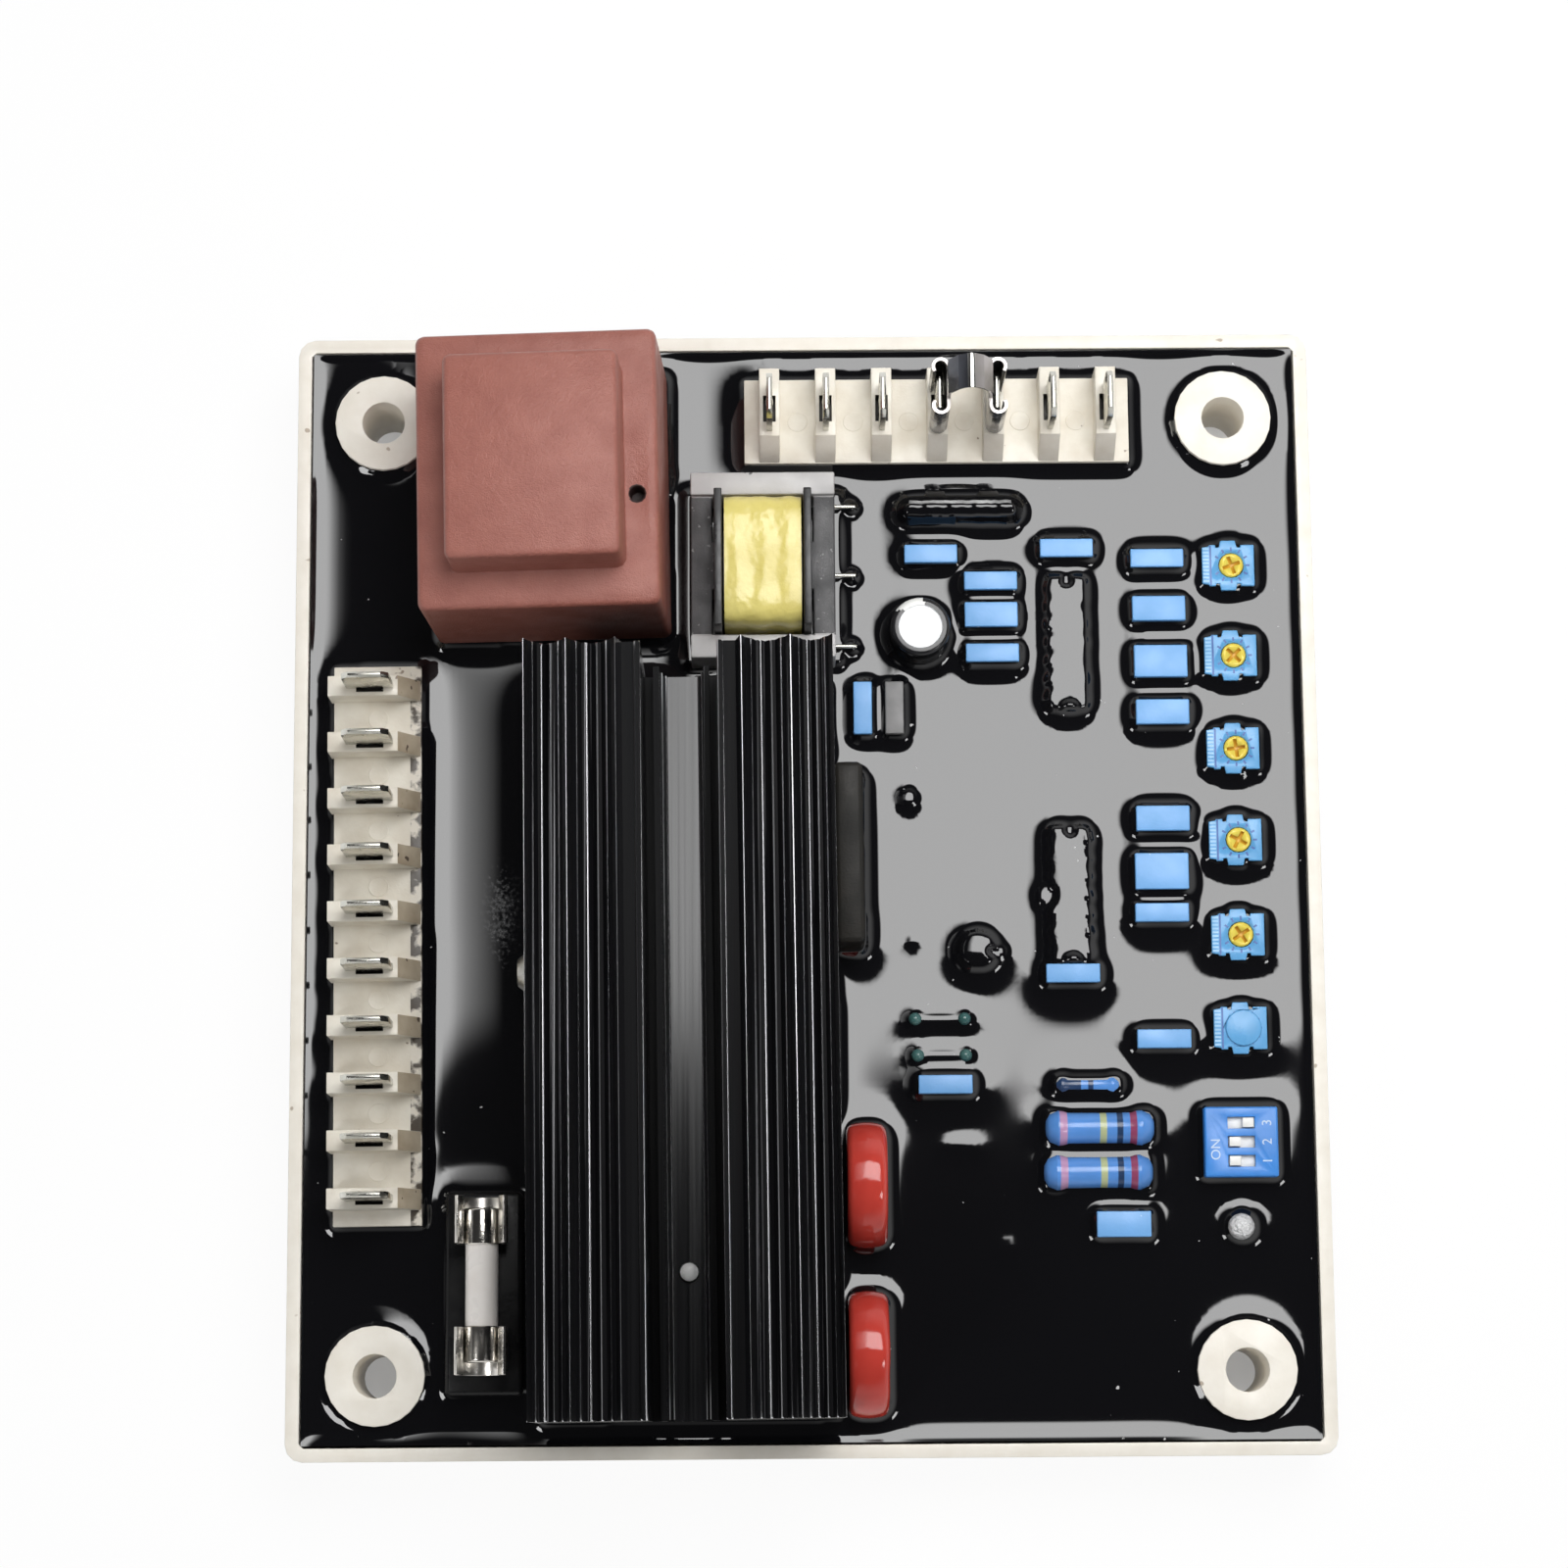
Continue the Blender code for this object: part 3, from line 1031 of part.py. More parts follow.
def make_dipped_discs():
    """Two red dipped discs standing on edge beside the heat sink."""
    red = material("red dip", (0.45, 0.03, 0.02), 0.15)
    for label, drawn_y in zip(("rear", "front"), DISC_PLACES_Y):
        y = along(drawn_y)
        edge = []
        for step in range(3):
            angle = math.pi / 2 * step / 2
            radius = DISC_RADIUS - DISC_EDGE + DISC_EDGE * math.sin(angle)
            edge.append((radius, DISC_HALF_THICKNESS - DISC_EDGE + DISC_EDGE * math.cos(angle)))
        far_edge = [(radius, -depth) for radius, depth in reversed(edge)]
        profile = [(0, DISC_HALF_THICKNESS), *edge, *far_edge, (0, -DISC_HALF_THICKNESS)]
        height = PART_LOW + DISC_RADIUS
        turned("dipped_disc_" + label, profile, DISC_STEPS, red, DISC_X, y, height, (0, 90, 0))
        grown = DISC_HALF_THICKNESS + POCKET_GAP
        room = bar(DISC_RADIUS + POCKET_GAP + 0.1, -grown, grown, DISC_STEPS)
        write_object("disc room", room, pocket_collection, DISC_X, y, height, (0, 90, 0))
        sunk = height - RESIN_TOP
        chord = math.sqrt(DISC_RADIUS ** 2 - sunk ** 2)
        collar((2 * DISC_HALF_THICKNESS, 2 * chord), DISC_X, y)


def trimmer_outline():
    """Seen from above: a box with a tongue between two notches on each side, and a strip on the left."""
    upper = [
        (-TRIMMER_HALF_X, TRIMMER_STRIP_Y),
        (TRIMMER_STRIP_X, TRIMMER_STRIP_Y + 0.15),
        (TRIMMER_STRIP_X, TRIMMER_SIDE_Y),
        (-TRIMMER_NOTCH_X, TRIMMER_SIDE_Y),
        (-TRIMMER_NOTCH_X, TRIMMER_NOTCH_Y),
        (-TRIMMER_TAB_X - 0.2, TRIMMER_NOTCH_Y),
        (-TRIMMER_TAB_X, TRIMMER_TAB_Y),
        (TRIMMER_TAB_X, TRIMMER_TAB_Y),
        (TRIMMER_TAB_X + 0.2, TRIMMER_NOTCH_Y),
        (TRIMMER_NOTCH_X, TRIMMER_NOTCH_Y),
        (TRIMMER_NOTCH_X, TRIMMER_SIDE_Y),
        (TRIMMER_HALF_X, TRIMMER_SIDE_Y),
    ]
    return upper + [(x, -y) for x, y in reversed(upper)]


def make_trimmers():
    """Six trimmers. Five have a rotor that a screwdriver turns, the last is closed by a blue disc."""
    blue = material("trimmer blue", (0.30, 0.60, 0.92), 0.4)
    yellow = material("trimmer rotor", (0.90, 0.62, 0.12), 0.4)
    footprint = (2 * TRIMMER_HALF_X, 2 * TRIMMER_TAB_Y)
    x = across(TRIMMER_X)
    for number, drawn_y in enumerate((*TRIMMER_PLACES_Y, SEALED_TRIMMER_Y), 1):
        y = along(drawn_y)
        bm = prism(trimmer_outline(), PART_LOW, TRIMMER_TOP)
        body = part("trimmer_body_" + str(number), bm, blue, x, y)
        pocket(footprint, x, y)
        collar(footprint, x, y)
        if drawn_y == SEALED_TRIMMER_Y:
            seal = bar(SEAL_RADIUS, TRIMMER_TOP - OVERSHOOT, TRIMMER_TOP + SEAL_RISE, ROTOR_STEPS)
            combine(body, seal, "UNION", x + ROTOR_OFFSET_X, y)
            continue
        seat = TRIMMER_TOP - ROTOR_DEPTH
        well = bar(ROTOR_RADIUS + RUNNING_GAP, seat, TRIMMER_TOP + OVERSHOOT, ROTOR_STEPS)
        combine(body, well, "DIFFERENCE", x + ROTOR_OFFSET_X, y)
        make_rotor(number, x + ROTOR_OFFSET_X, y, seat, yellow)


def make_rotor(number, x, y, seat, surface):
    """A rotor with a cross slot, its origin on its axis."""
    top = ROTOR_DEPTH + ROTOR_PROUD
    axis = (x, y, seat)
    turn = (0.0, 0.0, ROTOR_ANGLES[number - 1])
    disc = bar(ROTOR_RADIUS, RUNNING_GAP, top, ROTOR_STEPS)
    rotor = part("trimmer_rotor_" + str(number), disc, surface, *axis, turn)
    for size_x, size_y in ((ROTOR_SLOT_LENGTH, ROTOR_SLOT_WIDTH), (ROTOR_SLOT_WIDTH, ROTOR_SLOT_LENGTH)):
        floor = top - ROTOR_SLOT_DEPTH
        slot = block((-size_x / 2, -size_y / 2, floor), (size_x / 2, size_y / 2, top + OVERSHOOT))
        combine(rotor, slot, "DIFFERENCE", *axis, turn)


def make_switch():
    """The switch's body, hollow under each slot, and three sliders whose base plates stay inside it."""
    half_x = SWITCH_SIZE[0] / 2
    half_y = SWITCH_SIZE[1] / 2
    bm = block((-half_x, -half_y, PART_LOW), (half_x, half_y, SWITCH_TOP))
    above = [edge for edge in bm.edges if max(vert.co.z for vert in edge.verts) > SWITCH_TOP - 0.01]
    round_edges(bm, above, SWITCH_EDGE)
    middle_x = across(SWITCH_X)
    middle_y = along(SWITCH_Y)
    body = part("dip_switch_body", bm, material("switch blue", (0.12, 0.36, 0.85), 0.35), middle_x, middle_y)
    pocket(SWITCH_SIZE, middle_x, middle_y)
    collar(SWITCH_SIZE, middle_x, middle_y)
    white = material("white slider", (0.88, 0.88, 0.86), 0.4)
    slot_length = KNOB_SIZE[0] + SLIDER_TRAVEL + 2 * RUNNING_GAP
    slot_width = KNOB_SIZE[1] + 2 * RUNNING_GAP
    hollow_x = (PLATE_LENGTH + SLIDER_TRAVEL) / 2 + RUNNING_GAP
    hollow_y = PLATE_WIDTH / 2 + RUNNING_GAP
    ceiling = SWITCH_TOP - SLOT_DEPTH
    floor = ceiling - PLATE_THICKNESS - 2 * RUNNING_GAP
    for number, place, rest in ((1, -1, -1), (2, 0, -1), (3, 1, 1)):
        y = middle_y + place * SLIDER_PITCH
        hollow = block((-hollow_x, -hollow_y, floor), (hollow_x, hollow_y, ceiling))
        combine(body, hollow, "DIFFERENCE", middle_x, y)
        slot = block((-slot_length / 2, -slot_width / 2, ceiling - RUNNING_GAP),
                     (slot_length / 2, slot_width / 2, SWITCH_TOP + OVERSHOOT))
        combine(body, slot, "DIFFERENCE", middle_x, y)
        x = middle_x + rest * SLIDER_TRAVEL / 2
        plate_x = PLATE_LENGTH / 2
        plate_y = PLATE_WIDTH / 2
        plate = block((-plate_x, -plate_y, 0), (plate_x, plate_y, PLATE_THICKNESS))
        slider = part("dip_slider_" + str(number), plate, white, x, y, floor + RUNNING_GAP)
        knob = block((-KNOB_SIZE[0] / 2, -KNOB_SIZE[1] / 2, PLATE_THICKNESS / 2),
                     (KNOB_SIZE[0] / 2, KNOB_SIZE[1] / 2, SWITCH_TOP + KNOB_PROUD - floor - RUNNING_GAP))
        combine(slider, knob, "UNION", x, y, floor + RUNNING_GAP)


def make_resistors():
    """Blue resistors with swollen ends, half sunk in the resin, which carries them."""
    blue = material("resistor blue", (0.16, 0.30, 0.62), 0.3)
    pitch = 2 * RESISTOR_END + RESISTOR_GAP
    first_y = along(RESISTOR_Y)
    places = [(x, first_y - pitch * row, RESISTOR_Z, 1.0) for row, x in enumerate(RESISTOR_PLACES_X)]
    x, y = SMALL_RESISTOR_PLACE
    places.append((x, along(y), SMALL_RESISTOR_Z, SMALL_RESISTOR_SCALE))
    for number, (drawn_x, y, z, scale) in enumerate(places, 1):
        x = across(drawn_x)
        half = RESISTOR_HALF_LENGTH * scale
        waist = RESISTOR_WAIST * scale
        end = RESISTOR_END * scale
        upper = [(0, half), (end * 0.7, half), (end, half * 0.9), (end, half * 0.7), (waist, half * 0.56)]
        profile = upper + [(radius, -height) for radius, height in reversed(upper)]
        turned("resistor_" + str(number), profile, RESISTOR_STEPS, blue, x, y, z, (0, 90, 0))
        trough = bar(end + POCKET_GAP, -half - POCKET_GAP, half + POCKET_GAP, RESISTOR_STEPS)
        write_object("trough", trough, pocket_collection, x, y, z, (0, 90, 0))
        collar((2 * half, 2 * end), x, y)


def make_lamp():
    """The clear indicator lamp: a short cylinder with a domed top."""
    dome = LAMP_TOP - PART_LOW - LAMP_RADIUS
    profile = [(0, dome + LAMP_RADIUS)]
    for step in range(1, 5):
        angle = math.pi / 2 * step / 4
        profile.append((LAMP_RADIUS * math.sin(angle), dome + LAMP_RADIUS * math.cos(angle)))
    profile += [(LAMP_RADIUS, 0), (0, 0)]
    x = across(LAMP_X)
    y = along(LAMP_Y)
    clear = material("clear lamp", (0.85, 0.87, 0.88), 0.05)
    turned("indicator_lamp", profile, LAMP_STEPS, clear, x, y, PART_LOW)
    round_pocket(LAMP_RADIUS, x, y, steps=12)
    round_collar(LAMP_RADIUS, x, y)


start_scene()
make_tray()
make_circuit_board()
make_covered_parts()
make_case()
make_core()
make_former()
make_winding()
make_heat_sink()
make_power_package()
make_fuse()
make_strips()
make_link()
make_film_capacitors()
make_can()
make_dipped_discs()
make_trimmers()
make_switch()
make_resistors()
make_lamp()
make_resin()
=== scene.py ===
# %% [markdown]
# # A potted voltage regulator, dressed for its portrait
#
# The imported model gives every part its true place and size. This lesson adds what makes the real board
# look like itself: glossy black resin that climbs up each part, bright tabs, wrinkled yellow tape, a
# ridged black heat sink and many small blue boxes. Lengths in the cells below are in millimetres, in the
# model's own frame, and turn into metres when a piece is finished.

import math

import bmesh
import bpy
import numpy as np
from mathutils import Matrix, Vector, noise


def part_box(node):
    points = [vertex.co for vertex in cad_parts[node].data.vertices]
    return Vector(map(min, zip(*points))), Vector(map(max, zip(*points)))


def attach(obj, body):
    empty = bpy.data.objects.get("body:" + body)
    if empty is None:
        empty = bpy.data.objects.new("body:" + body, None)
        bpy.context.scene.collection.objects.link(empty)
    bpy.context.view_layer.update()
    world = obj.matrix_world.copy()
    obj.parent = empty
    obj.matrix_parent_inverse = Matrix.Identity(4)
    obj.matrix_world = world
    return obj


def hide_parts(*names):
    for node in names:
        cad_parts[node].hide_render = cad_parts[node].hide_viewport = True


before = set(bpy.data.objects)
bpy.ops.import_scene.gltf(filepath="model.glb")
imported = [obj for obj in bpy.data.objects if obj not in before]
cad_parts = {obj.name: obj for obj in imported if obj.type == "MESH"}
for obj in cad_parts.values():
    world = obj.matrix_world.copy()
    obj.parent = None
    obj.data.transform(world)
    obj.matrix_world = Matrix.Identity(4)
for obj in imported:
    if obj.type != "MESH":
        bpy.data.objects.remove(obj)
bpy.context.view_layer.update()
MM = 0.001
BOARD = "regulator"
print("nodes in the frame:", len(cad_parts))

# %% [markdown]
# ## Finishing a piece
#
# A piece is modelled in millimetres with bmesh operators. `finish_piece` closes that work: it scales the
# mesh to metres, turns its faces outwards, shades it smooth except at sharp edges, and ties it to the body
# of the model that carries it. Keeping this in one place means that no piece forgets a step.

# %% Finish a piece and tie it to a body
def finish_piece(name, bm, finishes, replaced=(), body=BOARD, sharp=35.0):
    """Makes the object, in place, riding on its body and standing for the nodes that it replaces."""
    bmesh.ops.scale(bm, verts=bm.verts, vec=(MM, MM, MM))
    bmesh.ops.recalc_face_normals(bm, faces=bm.faces)
    mesh = bpy.data.meshes.new(name)
    bm.to_mesh(mesh)
    bm.free()
    made = bpy.data.objects.new(name, mesh)
    bpy.context.scene.collection.objects.link(made)
    for finish in finishes:
        mesh.materials.append(finish)
    mesh.shade_smooth()
    mesh.set_sharp_from_angle(angle=math.radians(sharp))
    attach(made, body)
    if replaced:
        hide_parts(*replaced)
    print("made", name, "with", len(mesh.polygons), "faces")
    return made


# %% [markdown]
# ## Boxes and rounded edges
#
# Most parts of a board are boxes. A box is a cube stretched between two corners, and its edges are beveled,
# because a real edge is never sharp and its small round catches a thin line of light. An edge counts as
# sharp where its two faces meet at more than a given angle.

# %% Boxes with rounded edges
def node_box(node):
    """A node's lowest and highest corner in millimetres."""
    low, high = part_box(node)
    return low / MM, high / MM


def sharp_edges(edges, angle):
    """The edges where two faces meet at more than an angle in degrees."""
    return [edge for edge in edges
            if len(edge.link_faces) == 2 and edge.calc_face_angle(0) > math.radians(angle)]


def round_edges(bm, edges, offset, segments, clamp=True, material=-1):
    """Bevels edges into rounds. Clamping keeps neighbouring rounds from crossing."""
    return bmesh.ops.bevel(bm, geom=edges, offset=offset, segments=segments, profile=0.5, affect="EDGES",
                           clamp_overlap=clamp, material=material)


def add_block(bm, low, high, bevel=0.0, segments=2, material=0):
    """A box between two corners with rounded edges, added to the mesh."""
    size = Vector(high) - Vector(low)
    place = Matrix.Translation((Vector(high) + Vector(low)) / 2) @ Matrix.Diagonal((*size, 1.0))
    made = bmesh.ops.create_cube(bm, size=1.0, matrix=place)
    faces = {face for vert in made["verts"] for face in vert.link_faces}
    for face in faces:
        face.material_index = material
    if bevel:
        edges = list({edge for vert in made["verts"] for edge in vert.link_edges})
        round_edges(bm, edges, bevel, segments, clamp=False)
    return made["verts"]


# %% [markdown]
# ## Turned shapes
#
# Caps, cans, pins and discs are round. Their profile, half of the outline, is spun round an axis the way a
# lathe turns it. A profile made of a few points and an arc keeps the shape easy to read and to change.

# %% Profiles and spinning
def arc(centre, radius, start, end, steps):
    """Points of an arc in a profile, from one angle to another in degrees."""
    angles = [math.radians(start + (end - start) * step / steps) for step in range(steps + 1)]
    return [(centre[0] + radius * math.cos(a), centre[1] + radius * math.sin(a)) for a in angles]


def add_turned(bm, profile, centre, axis="Z", steps=48, material=0):
    """A shape of revolution: the profile, as radius and height, is spun round the centre."""
    verts = [bm.verts.new((radius, 0.0, height)) for radius, height in profile]
    edges = [bm.edges.new(pair) for pair in zip(verts, verts[1:])]
    before = set(bm.faces)
    bmesh.ops.spin(bm, geom=verts + edges, cent=(0, 0, 0), axis=(0, 0, 1), angle=2 * math.pi, steps=steps,
                   use_merge=True)
    points = list({vert for face in bm.faces if face not in before for vert in face.verts})
    bmesh.ops.remove_doubles(bm, verts=points, dist=1e-4)
    faces = [face for face in bm.faces if face not in before]
    points = list({vert for face in faces for vert in face.verts})
    quarter = math.pi / 2
    turns = {"Z": Matrix(), "X": Matrix.Rotation(quarter, 4, "Y"), "Y": Matrix.Rotation(-quarter, 4, "X")}
    bmesh.ops.transform(bm, verts=points, matrix=Matrix.Translation(centre) @ turns[axis])
    for face in faces:
        face.material_index = material
    return points


# %% [markdown]
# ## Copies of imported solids
#
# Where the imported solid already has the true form, nothing is modelled twice. Its mesh is loose triangles,
# so a copy is merged, its flat faces are joined again, and then its edges can be rounded.

# %% A merged copy of a node
def from_node(node, bevel, segments=2, angle=25.0, dissolve=True):
    """A merged copy of a node's mesh in millimetres, its sharp edges rounded."""
    bm = bmesh.new()
    bm.from_mesh(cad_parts[node].data)
    bmesh.ops.scale(bm, verts=bm.verts, vec=(1 / MM, 1 / MM, 1 / MM))
    bmesh.ops.remove_doubles(bm, verts=bm.verts, dist=1e-3)
    if dissolve:
        bmesh.ops.dissolve_limit(bm, angle_limit=math.radians(1.0), verts=bm.verts, edges=bm.edges)
    if bevel:
        round_edges(bm, sharp_edges(bm.edges, angle), bevel, segments)
    return bm


# %% [markdown]
# ## Patterns for finishes
#
# Every finish is a Principled shader with patterns on Object coordinates, so that the grain stays on the
# piece when it moves. The patterns are built from few kinds of nodes: a noise, a change of range, a sum and
# a mix of colours. A small helper for each keeps the finishes short, and takes a number or a socket.

# %% Noise, ranges, sums and mixed colours
def set_or_link(tree, socket, value):
    """Gives a socket a plain value or colour, or links it if the value is another socket."""
    if isinstance(value, bpy.types.NodeSocket):
        tree.links.new(value, socket)
    elif isinstance(value, tuple):
        socket.default_value = (*value[:3], 1.0)
    else:
        socket.default_value = value


def object_noise(tree, scale, detail, stretch=(1.0, 1.0, 1.0)):
    """The value of a noise on Object coordinates."""
    place = tree.nodes.new("ShaderNodeTexCoord")
    mapping = tree.nodes.new("ShaderNodeMapping")
    mapping.inputs["Scale"].default_value = stretch
    made = tree.nodes.new("ShaderNodeTexNoise")
    made.inputs["Detail"].default_value = detail
    tree.links.new(place.outputs["Object"], mapping.inputs["Vector"])
    tree.links.new(mapping.outputs["Vector"], made.inputs["Vector"])
    set_or_link(tree, made.inputs["Scale"], scale)
    return made.outputs["Fac"]


def to_range(tree, value, low, high, new_low, new_high):
    """Maps a value from one range to another and keeps it inside."""
    made = tree.nodes.new("ShaderNodeMapRange")
    ends = {"Value": value, "From Min": low, "From Max": high, "To Min": new_low, "To Max": new_high}
    for label, end in ends.items():
        set_or_link(tree, made.inputs[label], end)
    return made.outputs["Result"]


def calculate(tree, operation, first, second=None):
    """A Math node on one or two values."""
    made = tree.nodes.new("ShaderNodeMath")
    made.operation = operation
    set_or_link(tree, made.inputs[0], first)
    if second is not None:
        set_or_link(tree, made.inputs[1], second)
    return made.outputs[0]


def blend_colours(tree, share, first, second):
    """Mixes two colours by a share."""
    made = tree.nodes.new("ShaderNodeMix")
    made.data_type = "RGBA"
    for index, value in ((0, share), (6, first), (7, second)):
        set_or_link(tree, made.inputs[index], value)
    return made.outputs[2]


# %% [markdown]
# ## Mottling, dust and relief
#
# Three effects are used again and again. Mottling makes a colour and a gloss uneven, as in any moulding.
# Dust is a scatter of small specks in a colour of their own. Relief is a fine height for the Bump node.
# Each is a node group with named sockets, built once and given its own values in each finish.

# %% An empty node group
def new_group(name, inputs, outputs):
    """A shader group with its sockets, returned with its input and output nodes."""
    group = bpy.data.node_groups.new(name, "ShaderNodeTree")
    for label, kind, value in inputs:
        made = group.interface.new_socket(label, in_out="INPUT", socket_type=kind)
        if value is not None:
            made.default_value = value
    for label, kind in outputs:
        group.interface.new_socket(label, in_out="OUTPUT", socket_type=kind)
    print("group", name, "takes", [label for label, kind, value in inputs])
    return group, group.nodes.new("NodeGroupInput"), group.nodes.new("NodeGroupOutput")


COLOUR, FLOAT = "NodeSocketColor", "NodeSocketFloat"

# %% Mottled colour and gloss
mottling, arriving, leaving = new_group(
    "Mottling",
    [("Colour", COLOUR, None), ("Darker", COLOUR, None), ("Scale", FLOAT, 200.0), ("Amount", FLOAT, 0.3),
     ("Smooth", FLOAT, 0.3), ("Rough", FLOAT, 0.5)],
    [("Colour", COLOUR), ("Roughness", FLOAT)],
)
cloud = object_noise(mottling, arriving.outputs["Scale"], 4.0)
share = to_range(mottling, cloud, 0.35, 0.7, 0.0, arriving.outputs["Amount"])
mixed = blend_colours(mottling, share, arriving.outputs["Colour"], arriving.outputs["Darker"])
mottling.links.new(mixed, leaving.inputs["Colour"])
uneven = to_range(mottling, cloud, 0.35, 0.7, arriving.outputs["Smooth"], arriving.outputs["Rough"])
mottling.links.new(uneven, leaving.inputs["Roughness"])

# %% Dust specks
DUST_EDGE = 0.03
DUST_ROUGHNESS = 0.6
dusting, arriving, leaving = new_group(
    "Dust",
    [("Colour", COLOUR, None), ("Dust colour", COLOUR, None), ("Roughness", FLOAT, 0.1),
     ("Scale", FLOAT, 700.0), ("Sparse", FLOAT, 0.72)],
    [("Colour", COLOUR), ("Roughness", FLOAT)],
)
speckle = object_noise(dusting, arriving.outputs["Scale"], 1.0)
full_speck = calculate(dusting, "ADD", arriving.outputs["Sparse"], DUST_EDGE)
specks = to_range(dusting, speckle, arriving.outputs["Sparse"], full_speck, 0.0, 1.0)
dusted = blend_colours(dusting, specks, arriving.outputs["Colour"], arriving.outputs["Dust colour"])
dusting.links.new(dusted, leaving.inputs["Colour"])
duller = to_range(dusting, specks, 0.0, 1.0, arriving.outputs["Roughness"], DUST_ROUGHNESS)
dusting.links.new(duller, leaving.inputs["Roughness"])

# %% Fine relief
relief, arriving, leaving = new_group(
    "Fine relief",
    [("Coarse", FLOAT, 400.0), ("Fine", FLOAT, 3000.0)],
    [("Height", FLOAT)],
)
coarse = object_noise(relief, arriving.outputs["Coarse"], 2.0)
fine = object_noise(relief, arriving.outputs["Fine"], 2.0)
relief.links.new(calculate(relief, "ADD", coarse, fine), leaving.inputs["Height"])
print("node groups:", [group.name for group in bpy.data.node_groups])

# %% [markdown]
# ## Finishes
#
# A finish starts from plain values on its Principled shader, gets its groups, and ends with a Bump node.
# Two recipes cover most of the board: one for what was moulded, coated or painted, and one for plated
# metal, which is fully metallic, slightly rippled and here and there tarnished.

# %% Start a finish, add a group, add a bump
def start_finish(name, colour, roughness, metallic=0.0, **constants):
    """A material with plain values on its Principled shader, returned with its tree and shader."""
    made = bpy.data.materials.new(name)
    made.use_nodes = True
    tree = made.node_tree
    principled = tree.nodes["Principled BSDF"]
    values = {"Base Color": (*colour, 1.0), "Roughness": roughness, "Metallic": metallic}
    for label, value in constants.items():
        values[label.replace("_", " ").title().replace("Ior", "IOR")] = value
    for label, value in values.items():
        principled.inputs[label].default_value = value
    print("finish", name)
    return made, tree, principled


def add_group(tree, group, **values):
    """Places a node group and sets or links its inputs."""
    made = tree.nodes.new("ShaderNodeGroup")
    made.node_tree = group
    for label, value in values.items():
        set_or_link(tree, made.inputs[label.replace("_", " ")], value)
    return made


def add_bump(tree, principled, height, strength, distance):
    """Feeds a height to the shader's normal through a Bump node, its distance in millimetres."""
    made = tree.nodes.new("ShaderNodeBump")
    made.inputs["Strength"].default_value = strength
    made.inputs["Distance"].default_value = distance * MM
    tree.links.new(height, made.inputs["Height"])
    tree.links.new(made.outputs["Normal"], principled.inputs["Normal"])


def add_relief(tree, principled, coarse_scale, fine_scale, strength, depth):
    """A bump from the relief group."""
    height = add_group(tree, relief, Coarse=coarse_scale, Fine=fine_scale)
    add_bump(tree, principled, height.outputs["Height"], strength, depth)


def show(tree, principled, colour, roughness):
    """Links what the shader shows as its colour and its roughness."""
    tree.links.new(colour, principled.inputs["Base Color"])
    tree.links.new(roughness, principled.inputs["Roughness"])


# %% Moulded and plated finishes
def moulded_finish(name, colour, darker, smooth, rough, grain=(500.0, 4000.0, 0.03), specks=None, **values):
    """A moulded or coated surface: mottled colour and gloss, with a fine relief and, if wanted, dust."""
    made, tree, principled = start_finish(name, colour, smooth, **values)
    surface = add_group(tree, mottling, Colour=colour, Darker=darker, Scale=260.0, Amount=0.8,
                        Smooth=smooth, Rough=rough)
    if specks:
        dust_colour, scale, sparse = specks
        surface = add_group(tree, dusting, Colour=surface.outputs["Colour"], Dust_colour=dust_colour,
                            Roughness=surface.outputs["Roughness"], Scale=scale, Sparse=sparse)
    show(tree, principled, surface.outputs["Colour"], surface.outputs["Roughness"])
    add_relief(tree, principled, grain[0], grain[1], 0.5, grain[2])
    return made


def metal_finish(name, colour, smooth, rough, scale=350.0, depth=0.02, tarnish=(0.35, 0.33, 0.28)):
    """Plated metal with an uneven gloss, faint tarnish and a slight ripple."""
    made, tree, principled = start_finish(name, colour, smooth, metallic=1.0)
    surface = add_group(tree, mottling, Colour=colour, Darker=tarnish, Scale=scale, Amount=0.45,
                        Smooth=smooth, Rough=rough)
    show(tree, principled, surface.outputs["Colour"], surface.outputs["Roughness"])
    add_relief(tree, principled, scale, scale * 6, 0.4, depth)
    return made


# %% [markdown]
# ## Camera
#
# The picture looks almost straight down, from about half a metre away, turned a little to the left. The
# long lens keeps the tray's walls nearly parallel. The numbers come from fitting the tray's corners and the
# four posts to the picture: a target on the resin's surface, a distance, two angles and a small roll.

# %% Camera at the picture's angle
RESIN_TOP = 14.6
target = Vector((-3.017, 13.921, RESIN_TOP))
distance = 535.38
elevation, azimuth, roll = (math.radians(angle) for angle in (80.439, -1.522, 1.11))
level_reach = math.cos(elevation)
outward = Vector((math.sin(azimuth) * level_reach, -math.cos(azimuth) * level_reach, math.sin(elevation)))
right = (-outward).cross(Vector((0, 0, 1))).normalized()
upward = right.cross(-outward)
turned_right = math.cos(roll) * right + math.sin(roll) * upward
turned_up = math.cos(roll) * upward - math.sin(roll) * right
camera_data = bpy.data.cameras.new("camera")
camera_data.lens = 90.81
camera_data.sensor_width = 36.0
camera_data.clip_start = 0.01
camera = bpy.data.objects.new("camera", camera_data)
bpy.context.scene.collection.objects.link(camera)
turned = Matrix((turned_right, turned_up, outward)).transposed().to_4x4()
camera.matrix_world = Matrix.Translation((target + outward * distance) * MM) @ turned
bpy.context.scene.camera = camera
bpy.context.scene.view_settings.view_transform = "Standard"
print("camera at", [round(value / MM, 1) for value in camera.matrix_world.translation])

# %% [markdown]
# ## White table
#
# The board lies on a white table. A lit white plane would take a grey tone, so the table glows white for
# the camera and for mirrors only. To the light's own bounces it is a plain diffuse plane, and part of that
# is mixed back in, so that the board keeps a faint shadow round its foot.

